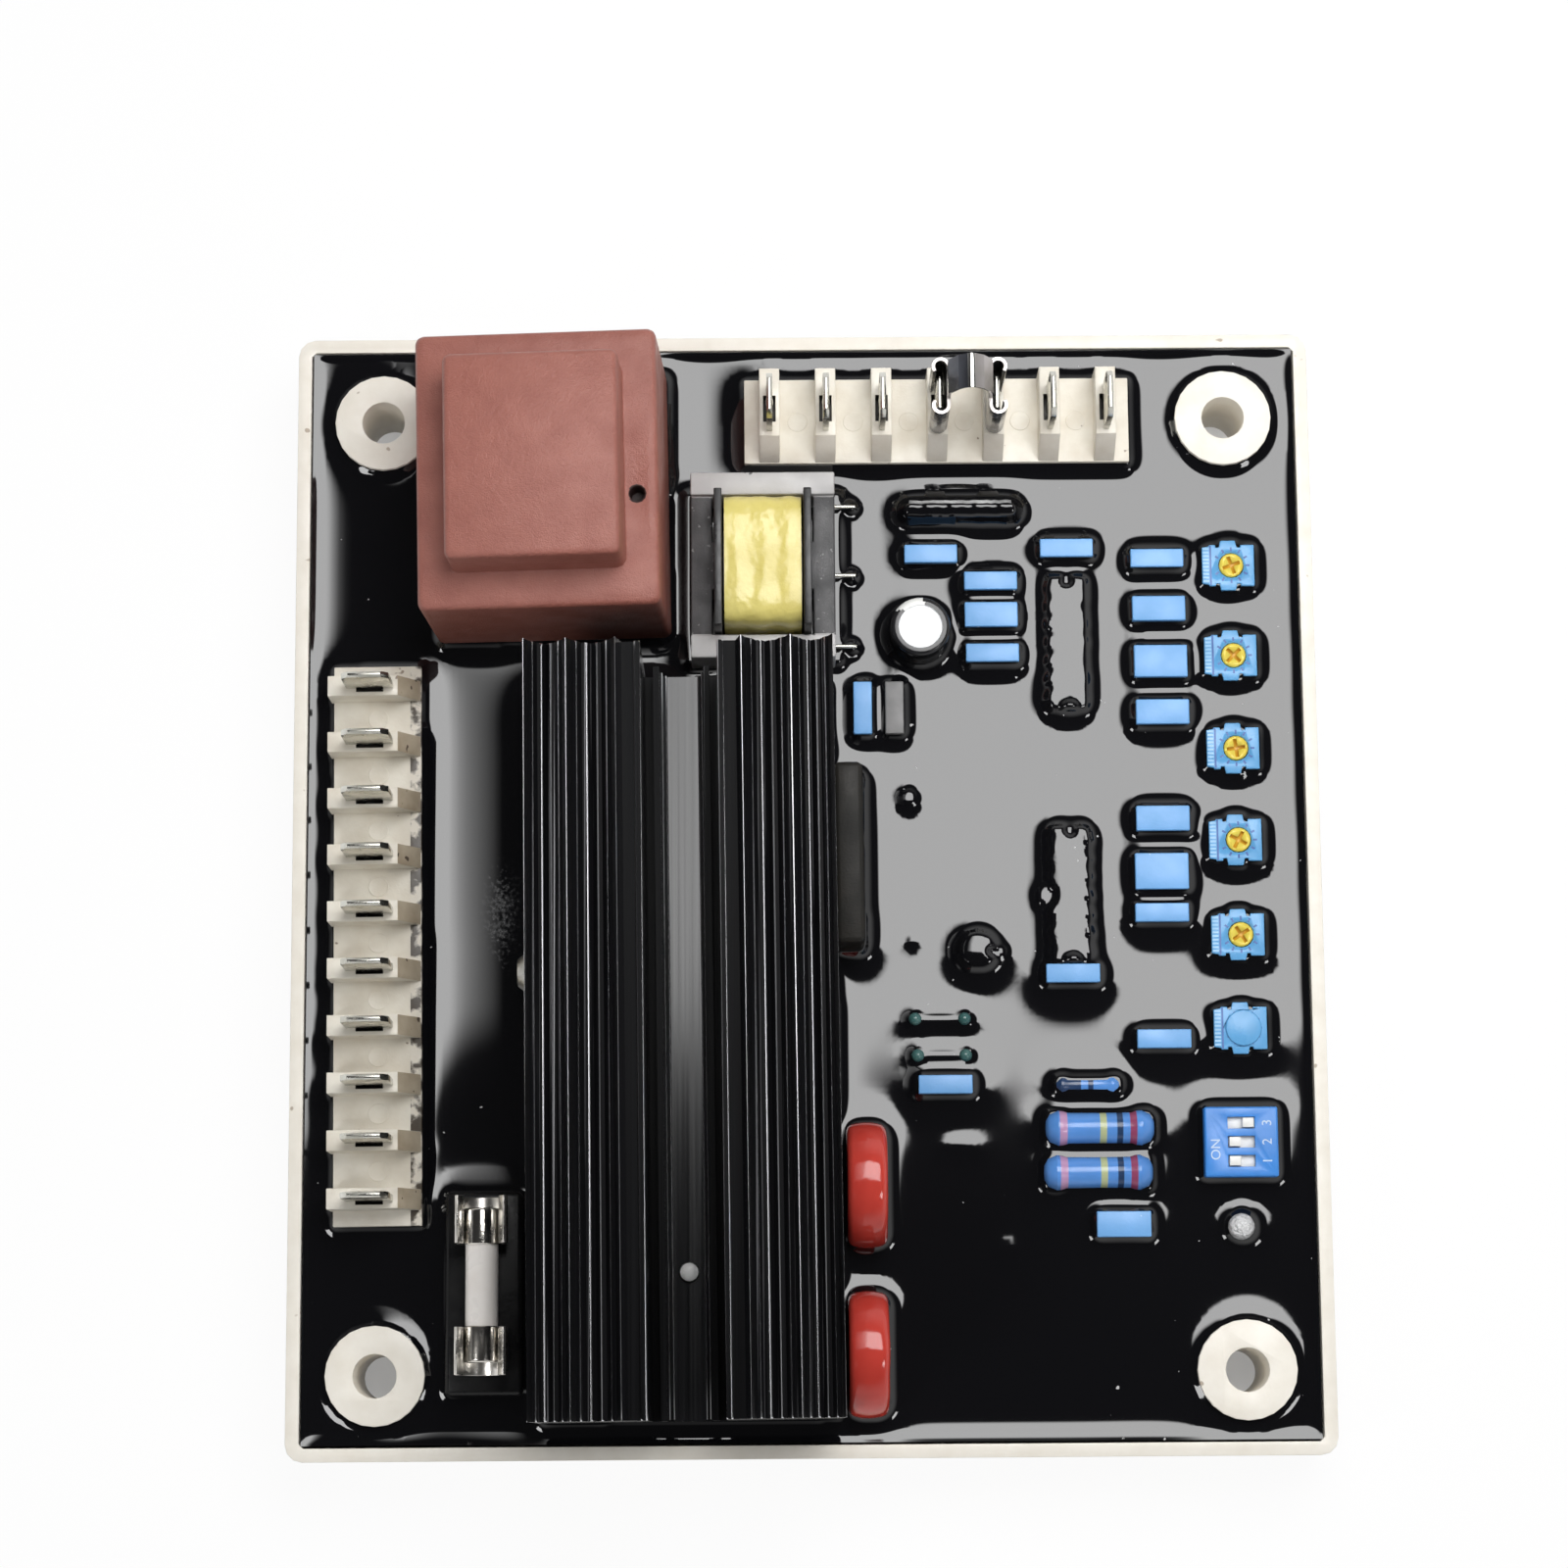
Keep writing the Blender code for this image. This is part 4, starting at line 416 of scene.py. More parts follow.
# %% White table that keeps a shadow
def seen_or_mirrored(tree):
    """One for rays from the camera, from mirrors and through glass, nought for the light's own bounces."""
    path = tree.nodes.new("ShaderNodeLightPath")
    found = path.outputs["Is Camera Ray"]
    for other in ("Is Glossy Ray", "Is Transmission Ray"):
        found = calculate(tree, "MAXIMUM", found, path.outputs[other])
    return found


UNDER_TRAY = (64.0, 71.0)
table = bpy.data.materials.new("table_white")
table.use_nodes = True
tree = table.node_tree
tree.nodes.remove(tree.nodes["Principled BSDF"])
place = tree.nodes.new("ShaderNodeTexCoord")
squeezed = tree.nodes.new("ShaderNodeMapping")
squeezed.inputs["Scale"].default_value = (1 / (UNDER_TRAY[0] * MM), 1 / (UNDER_TRAY[1] * MM), 0.0)
tree.links.new(place.outputs["Object"], squeezed.inputs["Vector"])
sides = tree.nodes.new("ShaderNodeSeparateXYZ")
tree.links.new(squeezed.outputs["Vector"], sides.inputs["Vector"])
reach = [calculate(tree, "ABSOLUTE", sides.outputs[label]) for label in ("X", "Y")]
farther = calculate(tree, "MAXIMUM", *reach)
whitened = to_range(tree, farther, 0.97, 1.0, 0.25, 0.93)
matt = tree.nodes.new("ShaderNodeBsdfDiffuse")
matt.inputs["Color"].default_value = (0.9, 0.9, 0.9, 1.0)
glow = tree.nodes.new("ShaderNodeEmission")
glow.inputs["Color"].default_value = (1.0, 1.0, 1.0, 1.0)
glow.inputs["Strength"].default_value = 1.0
mixed = tree.nodes.new("ShaderNodeMixShader")
tree.links.new(to_range(tree, seen_or_mirrored(tree), 0.0, 1.0, 0.0, whitened), mixed.inputs["Fac"])
tree.links.new(matt.outputs["BSDF"], mixed.inputs[1])
tree.links.new(glow.outputs["Emission"], mixed.inputs[2])
tree.links.new(mixed.outputs["Shader"], tree.nodes["Material Output"].inputs["Surface"])
print("finish", table.name)

# %% The table's plane
TABLE_REACH = 4.0
floor_mesh = bpy.data.meshes.new("table")
bm = bmesh.new()
bmesh.ops.create_grid(bm, x_segments=1, y_segments=1, size=TABLE_REACH)
bm.to_mesh(floor_mesh)
bm.free()
floor = bpy.data.objects.new("table", floor_mesh)
bpy.context.scene.collection.objects.link(floor)
floor_mesh.materials.append(table)
print("table:", 2 * TABLE_REACH, "m wide")

# %% [markdown]
# ## Room
#
# Glossy resin shows the room in it. The light that falls on the board comes evenly from all sides, while
# mirrors see a room that is white low down and nearly black overhead, as in a studio with a dark ceiling.
# That dark ceiling is what makes the resin look black where the soft box doesn't reach.

# %% Even light, and a dark ceiling for mirrors
world = bpy.data.worlds.new("room")
bpy.context.scene.world = world
world.use_nodes = True
tree = world.node_tree
tree.nodes.clear()
way = tree.nodes.new("ShaderNodeTexCoord")
parts = tree.nodes.new("ShaderNodeSeparateXYZ")
tree.links.new(way.outputs["Generated"], parts.inputs["Vector"])
mirror_room = tree.nodes.new("ShaderNodeBackground")
tree.links.new(to_range(tree, parts.outputs["Z"], 0.30, 0.62, 1.0, 0.035), mirror_room.inputs["Strength"])
soft_room = tree.nodes.new("ShaderNodeBackground")
soft_room.inputs["Strength"].default_value = 0.28
choice = tree.nodes.new("ShaderNodeMixShader")
tree.links.new(seen_or_mirrored(tree), choice.inputs["Fac"])
tree.links.new(soft_room.outputs["Background"], choice.inputs[1])
tree.links.new(mirror_room.outputs["Background"], choice.inputs[2])
room_output = tree.nodes.new("ShaderNodeOutputWorld")
tree.links.new(choice.outputs["Shader"], room_output.inputs["Surface"])
print("room:", round(soft_room.inputs["Strength"].default_value, 2), "of full light from every side")

# %% [markdown]
# ## Soft box and two small lamps
#
# A big soft box hangs over the rear of the board. It is what the resin mirrors: a grey sheen over the rear
# half, with the dark room in front of it. A real soft box is dimmer at its edges, and the resin shows that
# as a smooth fade, so the lamp's strength falls off towards each end by a share of its own. Two small lamps
# in front give the small bright glints.

# %% Lamps with soft edges
def soften_edges(data, fade):
    """Dims a lamp over a share of its size at X 0, X 1, Y 0 and Y 1. On the soft box X 1 is the left end."""
    data.use_nodes = True
    tree = data.node_tree
    place = tree.nodes.new("ShaderNodeNewGeometry")
    parts = tree.nodes.new("ShaderNodeSeparateXYZ")
    tree.links.new(place.outputs["Parametric"], parts.inputs["Vector"])
    ends = (("X", 0.0, fade[0]), ("X", 1.0, 1.0 - fade[1]), ("Y", 0.0, fade[2]), ("Y", 1.0, 1.0 - fade[3]))
    strength = 1.0
    for label, dark, full in ends:
        ramp = tree.nodes.new("ShaderNodeMapRange")
        ramp.interpolation_type = "SMOOTHSTEP"
        tree.links.new(parts.outputs[label], ramp.inputs["Value"])
        ramp.inputs["From Min"].default_value = dark
        ramp.inputs["From Max"].default_value = full
        strength = calculate(tree, "MULTIPLY", strength, ramp.outputs["Result"])
    tree.links.new(strength, tree.nodes["Emission"].inputs["Strength"])


def add_lamp(name, middle, size, radiance, aim=(0.0, 0.0, 0.0), turn=0.0, fade=None):
    """A rectangular lamp, hidden from the camera, that faces a point. Radiance is its brightness."""
    data = bpy.data.lights.new(name, "AREA")
    data.shape = "RECTANGLE"
    data.size, data.size_y = (side * MM for side in size)
    data.energy = radiance * math.pi * data.size * data.size_y
    lamp = bpy.data.objects.new(name, data)
    bpy.context.scene.collection.objects.link(lamp)
    facing = (Vector(middle) - Vector(aim)).normalized().to_track_quat("Z", "Y").to_matrix().to_4x4()
    turned = facing @ Matrix.Rotation(math.radians(turn), 4, "Z")
    lamp.matrix_world = Matrix.Translation(Vector(middle) * MM) @ turned
    lamp.visible_camera = False
    if fade:
        soften_edges(data, fade)
    print("lamp", name, "gives", round(data.energy, 2), "W")


# %% Three lamps
add_lamp("soft_box", (90.0, 156.0, 415.0), (360.0, 310.0), 7.3, aim=(90.0, 156.0, 0.0), turn=-6.0,
         fade=(0.13, 0.25, 0.17, 0.05))
add_lamp("front_left_lamp", (-300.0, -240.0, 450.0), (110.0, 170.0), 9.0)
add_lamp("front_right_lamp", (330.0, -230.0, 430.0), (90.0, 110.0), 9.0)

# %% [markdown]
# ## Potting resin: where it is held up
#
# Black resin was poured round the parts and set with a mirror gloss. While it was liquid it climbed up
# everything that it touched, as water climbs the side of a glass, and these small slopes make most of the
# picture: each one mirrors another piece of the room. A shape by hand would never get them all right, so
# the surface is worked out on a fine grid. First the parts are cut through just above the resin, and inside
# their outlines the surface is held at the height that it climbs to.

# %% Outlines of the parts at the resin's surface
STEP = 0.25
CUT_HEIGHT = RESIN_TOP + 0.55
pool_low, pool_high = node_box("potting_resin")
columns = int(round((pool_high[0] - pool_low[0]) / STEP)) + 1
rows = int(round((pool_high[1] - pool_low[1]) / STEP)) + 1
grid_x = np.linspace(pool_low[0], pool_high[0], columns)
grid_y = np.linspace(pool_low[1], pool_high[1], rows)
print("grid over the resin:", columns, "x", rows, "points")


def cut_outline(node):
    """Marks the grid points that lie inside a node where a level plane cuts it."""
    bm = bmesh.new()
    bm.from_mesh(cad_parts[node].data)
    bmesh.ops.remove_doubles(bm, verts=bm.verts, dist=1e-6)
    everything = bm.verts[:] + bm.edges[:] + bm.faces[:]
    cut = bmesh.ops.bisect_plane(bm, geom=everything, plane_co=(0, 0, CUT_HEIGHT * MM), plane_no=(0, 0, 1),
                                 clear_outer=True, clear_inner=True)
    inside = np.zeros((rows, columns), dtype=bool)
    for edge in (item for item in cut["geom_cut"] if isinstance(item, bmesh.types.BMEdge)):
        (x1, y1), (x2, y2) = ((vert.co.x / MM, vert.co.y / MM) for vert in edge.verts)
        if abs(y2 - y1) < 1e-9:
            continue
        crossed = (grid_y >= min(y1, y2)) & (grid_y < max(y1, y2))
        crossing = x1 + (grid_y[crossed] - y1) * (x2 - x1) / (y2 - y1)
        inside[crossed] ^= grid_x[None, :] > crossing[:, None]
    bm.free()
    return inside


# %% How far the resin climbs up each kind of part
CLIMBS = {
    "tray": 0.75, "transformer_case": 1.2, "ferrite_core": 1.3, "coil_former": 1.3, "heat_sink": 1.0,
    "power_package": 1.5, "fuse_holder": 0.9, "terminal_strip": 1.1, "film_capacitor": 1.35,
    "grey_capacitor": 1.35, "electrolytic": 1.5, "dipped_disc": 1.5, "trimmer_body": 1.05,
    "dip_switch_body": 1.3, "resistor": 1.0, "indicator_lamp": 1.3,
}
held = np.full((rows, columns), np.nan)
chance = np.random.default_rng(7)
for node in sorted(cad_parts):
    for start, climb in CLIMBS.items():
        if node.startswith(start):
            held[cut_outline(node)] = climb * chance.uniform(0.85, 1.12)
print("grid:", columns, "x", rows, "- share under parts:", round(float(np.isfinite(held).mean()), 2))

# %% [markdown]
# ## Parts that the resin covers
#
# Two long chips, a rectifier, a round part and some small upright ones lie just under the surface, and only
# show as bulges in the skin. Each is drawn on the grid as a rounded rectangle or a circle with its own
# height. The legs of the chips stand a little apart in height, because the skin is thin there and uneven.

# %% Rounded rectangles on the grid
fine_x, fine_y = np.meshgrid(grid_x, grid_y)


def round_box(middle, size, corner, turn=0.0):
    """Distance to a rounded rectangle on the grid, negative inside."""
    cos, sin = math.cos(math.radians(turn)), math.sin(math.radians(turn))
    along_x = (fine_x - middle[0]) * cos + (fine_y - middle[1]) * sin
    along_y = (fine_y - middle[1]) * cos - (fine_x - middle[0]) * sin
    out_x = np.abs(along_x) - size[0] / 2 + corner
    out_y = np.abs(along_y) - size[1] / 2 + corner
    outside = np.hypot(np.maximum(out_x, 0), np.maximum(out_y, 0))
    return outside + np.minimum(np.maximum(out_x, out_y), 0) - corner


# %% Two chips under the skin
CHIPS = ((35.5, 33.0), (35.3, -1.5))
CHIP_SIZE = (5.0, 18.4)
CHIP_RISE = 1.35
LEG_PITCH, LEGS, LEG_ASIDE = 2.54, 7, 2.35
BULGE_RADIUS = 1.7
for middle in CHIPS:
    inside = round_box(middle, CHIP_SIZE, 0.5) < 0
    along = np.cos(np.clip((fine_y - middle[1]) / CHIP_SIZE[1], -0.5, 0.5) * 2 * math.pi)
    crown = (0.13 + 0.10 * along) * (1 - ((fine_x - middle[0]) / (CHIP_SIZE[0] / 2)) ** 2)
    held[inside] = (CHIP_RISE + crown - 0.10 * along)[inside]
    for leg in range(LEGS):
        for side in (-1, 1):
            foot = (middle[0] + side * LEG_ASIDE, middle[1] + (leg - LEGS // 2) * LEG_PITCH)
            held[round_box(foot, (0.55, 1.3), 0.2, turn=side * 9.0) < 0] = 1.15 + chance.uniform(0.1, 0.5)
    rear_end, front_end = middle[1] + CHIP_SIZE[1] / 2, middle[1] - CHIP_SIZE[1] / 2
    held[round_box((middle[0] + 0.1, rear_end - 0.6), (1.5, 1.4), 0.7) < 0] = 0.95
    bulge = np.hypot(fine_x - middle[0] - 0.2, fine_y - front_end) / BULGE_RADIUS
    bulging = inside & (bulge < 1)
    held[bulging] = (1.32 + 0.85 * (1 - bulge ** 2))[bulging]
print("chips under the skin:", len(CHIPS))

# %% Rectifier and glass beads
bridge = round_box((21.2, 51.3), (15.2, 1.8), 0.4) < 0
ripple = 0.07 * np.sin(fine_x * 1.9) + 0.06 * np.sin(fine_x * 3.7 + fine_y * 2.0)
held[bridge] = (3.3 - 0.30 * (52.2 - fine_y) + ripple)[bridge]
BEADS = ((14.3, -18.2), (20.9, -18.2), (14.6, -23.1), (21.0, -23.1))
BEAD_SKIN = 0.55
for place in BEADS:
    held[round_box(place, (1.7, 1.7), 0.85) < 0] = BEAD_SKIN
for ends in (BEADS[:2], BEADS[2:]):
    held[round_box(np.mean(ends, axis=0), (5.0, 0.7), 0.3) < 0] = BEAD_SKIN
print("rectifier:", int(bridge.sum()), "grid points, glass beads:", len(BEADS))

# %% Round part and small bumps
ROUND_PART, ROUND_RADIUS = (22.8, -9.0), 2.5
dome = np.hypot(fine_x - ROUND_PART[0], fine_y - ROUND_PART[1])
held[dome < ROUND_RADIUS] = (1.3 + 0.35 * (1 - (dome / ROUND_RADIUS) ** 2))[dome < ROUND_RADIUS]
held[round_box((25.3, -9.2), (2.2, 1.2), 0.5) < 0] = 0.8
held[round_box((20.3, -35.2), (4.2, 1.0), 0.45, turn=-4.0) < 0] = 0.16
BUMPS = (((13.8, 11.9), 0.9, 0.7), ((32.2, -1.6), 1.2, 0.75), ((26.2, -48.6), 0.5, 0.2),
         ((14.1, -7.6), 0.4, 0.25))
for place, radius, rise in BUMPS:
    held[np.hypot(fine_x - place[0], fine_y - place[1]) < radius] = rise
print("share under parts and bulges:", round(float(np.isfinite(held).mean()), 2))

# %% [markdown]
# ## Relaxing the skin
#
# Between the parts a liquid skin pulls itself flat, and how far a slope reaches depends on its surface
# tension: a little over a millimetre for this resin. Taking the mean of the four neighbours again and again,
# with a slight pull down, gives that form. A last light smoothing takes the hard line off each outline.

# %% Relax the skin between the parts
def neighbours(field, **padding):
    """The sum of the four neighbours of each grid point."""
    edge = np.pad(field, 1, **padding)
    return edge[:-2, 1:-1] + edge[2:, 1:-1] + edge[1:-1, :-2] + edge[1:-1, 2:]


def relax(values, reach, wall, sweeps):
    """Lets a skin sink and even out between the places where it is held."""
    fixed = np.isfinite(values)
    skin = np.where(fixed, values, 0.0)
    pull = STEP ** 2 / reach ** 2
    for sweep in range(sweeps):
        skin = np.where(fixed, values, neighbours(skin, constant_values=wall) / (4 + pull))
    return skin


CLIMB_LENGTH = 1.15
height = relax(held, CLIMB_LENGTH, CLIMBS["tray"], 260)
for sweep in range(2):
    height = 0.5 * height + 0.125 * neighbours(height, mode="edge")
print("skin height from", round(float(height.min()), 3), "to", round(float(height.max()), 3))

# %% [markdown]
# ## A broad, faint swell
#
# Beside everything tall the resin also rises very slightly over several millimetres, and the whole pool has
# waves of a few micrometres. Nobody sees them as shape, but a mirror tilted by half a degree shows another
# place of the room, and these swells bend the edge of the soft box as in the picture.

# %% Swell beside everything tall, and long waves
SWELL_LENGTH = 4.2
SWELLS = {
    "tray": 0.20, "transformer_case": 0.42, "ferrite_core": 0.25, "heat_sink": 0.38, "terminal_strip": 0.30,
    "power_package": 0.30, "fuse_holder": 0.25, "film_capacitor": 0.10, "trimmer_body": 0.10,
}
WAVE_SLOPE = 0.00022
raised = np.full((rows, columns), np.nan)
for node in sorted(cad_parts):
    for start, swell in SWELLS.items():
        if node.startswith(start):
            raised[cut_outline(node)] = swell
height += relax(raised, SWELL_LENGTH, SWELLS["tray"], 700)
waves = np.zeros_like(height)
for wave in range(14):
    length = chance.uniform(16, 55)
    heading = chance.uniform(0, math.pi)
    phase = chance.uniform(0, 2 * math.pi)
    onward = fine_x * math.cos(heading) + fine_y * math.sin(heading)
    waves += length * np.sin(onward * 2 * math.pi / length + phase)
height += WAVE_SLOPE * waves
print("with the swell from", round(float(height.min()), 3), "to", round(float(height.max()), 3))

# %% [markdown]
# ## Mesh of the resin
#
# The height is laid on a flat grid mesh. An even grid fine enough for the slopes would have far too many
# faces, so it starts coarse and is subdivided only where the skin is steep. The faces over the four posts
# are taken out, and the rim is pushed down to the bottom of the pool and closed.

# %% Reading the height between grid points
def sample(field, x, y):
    """A field's value between the grid points."""
    column = min(max((x - pool_low[0]) / STEP, 0), columns - 1.001)
    row = min(max((y - pool_low[1]) / STEP, 0), rows - 1.001)
    c, r = int(column), int(row)
    u, v = column - c, row - r
    lower = field[r, c] * (1 - u) + field[r, c + 1] * u
    upper = field[r + 1, c] * (1 - u) + field[r + 1, c + 1] * u
    return lower * (1 - v) + upper * v


# %% Grid, finer where the skin is steep
CELL = 0.92
STEEP = 0.16
bm = bmesh.new()
cells_x = int(round((pool_high[0] - pool_low[0]) / CELL))
cells_y = int(round((pool_high[1] - pool_low[1]) / CELL))
bmesh.ops.create_grid(bm, x_segments=cells_x, y_segments=cells_y, size=0.5)
for vert in bm.verts:
    vert.co.x = pool_low[0] + (vert.co.x + 0.5) * (pool_high[0] - pool_low[0])
    vert.co.y = pool_low[1] + (vert.co.y + 0.5) * (pool_high[1] - pool_low[1])
slope_y, slope_x = np.gradient(height, STEP)
steep = np.hypot(slope_x, slope_y) > STEEP
steep = (steep | neighbours(steep)).astype(float)
busy = [face for face in bm.faces if sample(steep, *face.calc_center_median()[:2]) > 0.2]
busy_edges = list({edge for face in busy for edge in face.edges})
bmesh.ops.subdivide_edges(bm, edges=busy_edges, cuts=2, use_grid_fill=True)
for vert in bm.verts:
    vert.co.z = RESIN_TOP + sample(height, vert.co.x, vert.co.y)
print("faces on steep places:", len(busy), "- all faces:", len(bm.faces))

# %% Post holes and the pool's rim
POSTS = [(x, y) for x in (-57.5, 57.5) for y in (64.2, -65.0)]
POST_RADIUS = 5.4
hidden = [face for face in bm.faces
          if any(math.dist(face.calc_center_median()[:2], post) < POST_RADIUS for post in POSTS)]
bmesh.ops.delete(bm, geom=hidden, context="FACES")
rim = [edge for edge in bm.edges if edge.is_boundary]
lowered = bmesh.ops.extrude_edge_only(bm, edges=rim)["geom"]
for part in lowered:
    if isinstance(part, bmesh.types.BMVert):
        part.co.z = pool_low[2]
lower_rim = [edge for edge in bm.edges if edge.is_boundary]
bmesh.ops.triangle_fill(bm, use_beauty=True, edges=lower_rim)
print("resin faces:", len(bm.faces), "triangles:", sum(len(face.verts) - 2 for face in bm.faces))

# %% [markdown]
# ## Finish of the resin
#
# The resin is deep black and so smooth that its colour hardly matters: one sees what it mirrors. Sparse
# dust lies on it, and between the side strip and the heat sink a patch has been rubbed matt, which the
# picture shows as a grey, grainy smudge. A noise breaks up the edge of that patch.

# %% Gloss with dust and one rubbed patch
RESIN_BLACK = (0.004, 0.004, 0.005)
RUBBED_MIDDLE, RUBBED_REACH = (-40.88, -3.6), (5.6, 12.0)
resin, tree, principled = start_finish("resin_gloss", RESIN_BLACK, 0.05, ior=1.6)
dust = add_group(tree, dusting, Colour=RESIN_BLACK, Dust_colour=(0.5, 0.5, 0.5), Roughness=0.045,
                 Scale=900.0, Sparse=0.80)
place = tree.nodes.new("ShaderNodeTexCoord")
smudge = tree.nodes.new("ShaderNodeMapping")
smudge.inputs["Location"].default_value = (*(-m / r for m, r in zip(RUBBED_MIDDLE, RUBBED_REACH)), 0.0)
smudge.inputs["Scale"].default_value = (*(1 / (r * MM) for r in RUBBED_REACH), 0.0)
tree.links.new(place.outputs["Object"], smudge.inputs["Vector"])
away = tree.nodes.new("ShaderNodeVectorMath")
away.operation = "LENGTH"
tree.links.new(smudge.outputs["Vector"], away.inputs[0])
near = to_range(tree, away.outputs["Value"], 0.2, 1.0, 0.42, 0.0)
level = calculate(tree, "ADD", near, object_noise(tree, 1900.0, 8.0))
rubbed = to_range(tree, level, 0.80, 1.05, 0.0, 1.0)
show(tree, principled, blend_colours(tree, rubbed, dust.outputs["Colour"], (0.020, 0.020, 0.022)),
     to_range(tree, rubbed, 0.0, 1.0, dust.outputs["Roughness"], 0.30))
finish_piece("potting_resin_skin", bm, [resin], ["potting_resin"], sharp=60.0)

# %% [markdown]
# ## Glass beads and a grey ridge
#
# Four small diodes stand on end, and their glass beads just break the surface. Behind the transformer a
# grey, uneven line runs along the top edge of the covered rectifier. The beads are spheres, and the line
# is a thin grey bar that is subdivided and pushed about by a noise.

# %% Beads
bead_glass = moulded_finish("bead_teal", (0.03, 0.10, 0.10), (0.10, 0.20, 0.18), 0.08, 0.30,
                            (700.0, 3000.0, 0.05))
bm = bmesh.new()
for place in BEADS:
    where = Matrix.Translation((*place, RESIN_TOP + 0.35))
    bmesh.ops.create_uvsphere(bm, u_segments=24, v_segments=14, radius=0.88, matrix=where)
finish_piece("diode_beads", bm, [bead_glass])

# %% Ridge of the covered rectifier
grey_ridge = moulded_finish("ridge_grey", (0.42, 0.42, 0.42), (0.02, 0.02, 0.02), 0.20, 0.45,
                           (600.0, 3000.0, 0.15))
bm = bmesh.new()
add_block(bm, (14.3, 51.95, RESIN_TOP + 2.6), (28.2, 52.35, RESIN_TOP + 3.42))
bmesh.ops.subdivide_edges(bm, edges=bm.edges[:], cuts=24, use_grid_fill=True)
for vert in bm.verts:
    vert.co.y += 0.22 * noise.noise(Vector((vert.co.x * 1.6, 3.0, 0.0)))
    vert.co.z += 0.16 * noise.noise(Vector((vert.co.x * 2.2, vert.co.y * 3.0, 5.0)))
finish_piece("bridge_ridge", bm, [grey_ridge], sharp=60.0)

# %% [markdown]
# ## Moulded tray
#
# The tray is one cream moulding: a shallow box with four tubular posts that the resin doesn't cover. Its
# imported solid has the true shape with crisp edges. A copy with rounded edges catches the light as a
# moulding does, and its finish gets a faint mottling, because such plastic is never one even colour.

# %% Cream tray with soft edges
cream = moulded_finish("tray_cream", (0.86, 0.82, 0.74), (0.78, 0.73, 0.64), 0.38, 0.55,
                       (300.0, 2500.0, 0.03), specks=((0.45, 0.38, 0.30), 500.0, 0.76))
finish_piece("tray_moulding", from_node("tray", 0.3, 2), [cream], ["tray"])

# %% [markdown]
# ## Circuit board
#
# The board lies under the resin and nobody sees it, yet it is there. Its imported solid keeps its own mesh
# and only gets a laminate green.

# %% Laminate on the hidden board
laminate = moulded_finish("board_laminate", (0.10, 0.16, 0.08), (0.05, 0.09, 0.04), 0.4, 0.6)
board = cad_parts["circuit_board"].data
board.materials.clear()
board.materials.append(laminate)
print("board faces:", len(board.polygons))

# %% [markdown]
# ## Transformer case
#
# The biggest part is a transformer potted in a red-brown case with a raised square on top. The moulding
# has a fine spark-eroded grain that turns every highlight into a soft sheen, so the finish is a fine
# relief with a middling gloss, and the edges are rounded by half a millimetre. The shade inside the vent
# hole beside the square is painted: its walls are found by their place and get a dark finish of their own.

# %% Red-brown case with painted shade in the vent
case_finish = moulded_finish("case_red_brown", (0.325, 0.116, 0.088), (0.265, 0.088, 0.066), 0.38, 0.52,
                             (1700.0, 5600.0, 0.20), specks=((0.44, 0.20, 0.16), 3200.0, 0.80))
vent_painted_shade = moulded_finish("case_vent_painted_shade", (0.03, 0.012, 0.010), (0.012, 0.006, 0.005), 0.5, 0.7)
VENT_ASIDE, VENT_REACH, LEDGE_BELOW = (13.1, -3.7), 1.6, 8.0
bm = from_node("transformer_case", 0.55, 3)
low, high = node_box("transformer_case")
vent = ((low + high) / 2).xy + Vector(VENT_ASIDE)
# Painted shade: the vent's inner walls take the near-black finish.
for face in bm.faces:
    spot = face.calc_center_median()
    if (spot.xy - vent).length < VENT_REACH and face.calc_area() < 4.0 and spot.z < high.z - LEDGE_BELOW:
        face.material_index = 1
print("dark faces in the vent:", sum(face.material_index for face in bm.faces))
finish_piece("case_moulding", bm, [case_finish, vent_painted_shade], ["transformer_case"])

# %% [markdown]
# ## Ferrite transformer
#
# Two E shaped pieces of grey ferrite clamp a black former. The ground faces of the outer legs are pale and
# smooth, the pressed faces of the back parts are darker and grainy. One copy of the core has both: each
# face takes its finish from where its middle lies.

# %% Core and former
leg_grey = moulded_finish("ferrite_ground", (0.49, 0.48, 0.475), (0.40, 0.39, 0.385), 0.34, 0.5,
                          (500.0, 3000.0, 0.03), specks=((0.12, 0.12, 0.12), 900.0, 0.74))
yoke_grey = moulded_finish("ferrite_pressed", (0.080, 0.078, 0.080), (0.046, 0.046, 0.048), 0.42, 0.65,
                           (900.0, 4500.0, 0.09), specks=((0.22, 0.22, 0.22), 1500.0, 0.70))
former_black = moulded_finish("former_black", (0.012, 0.012, 0.013), (0.03, 0.03, 0.03), 0.25, 0.5,
                              (500.0, 2600.0, 0.05))
LEG_DEPTH = 3.4
low, high = node_box("ferrite_core")
bm = from_node("ferrite_core", 0.22, 2)
for face in bm.faces:
    middle = face.calc_center_median()
    on_leg = middle.y > high.y - LEG_DEPTH or middle.y < low.y + LEG_DEPTH
    face.material_index = 0 if on_leg else 1
finish_piece("ferrite_halves", bm, [leg_grey, yoke_grey], ["ferrite_core"])
finish_piece("former_moulding", from_node("coil_former", 0.15, 2), [former_black],
             ["coil_former"])

# %% [markdown]
# ## Heat sink: black dye on drawn metal
#
# The sink is an aluminium extrusion with long sharp ridges, cut off square and dyed black. The die leaves
# fine lines along it, and the dye is thin on the crests, where handling has nicked it bright. One recipe
# makes three finishes: the dyed walls, the worn crests, and the slopes and ledges, which are dull black
# with grey streaks. Where a stretched noise is high, the dye gives way to bare metal.

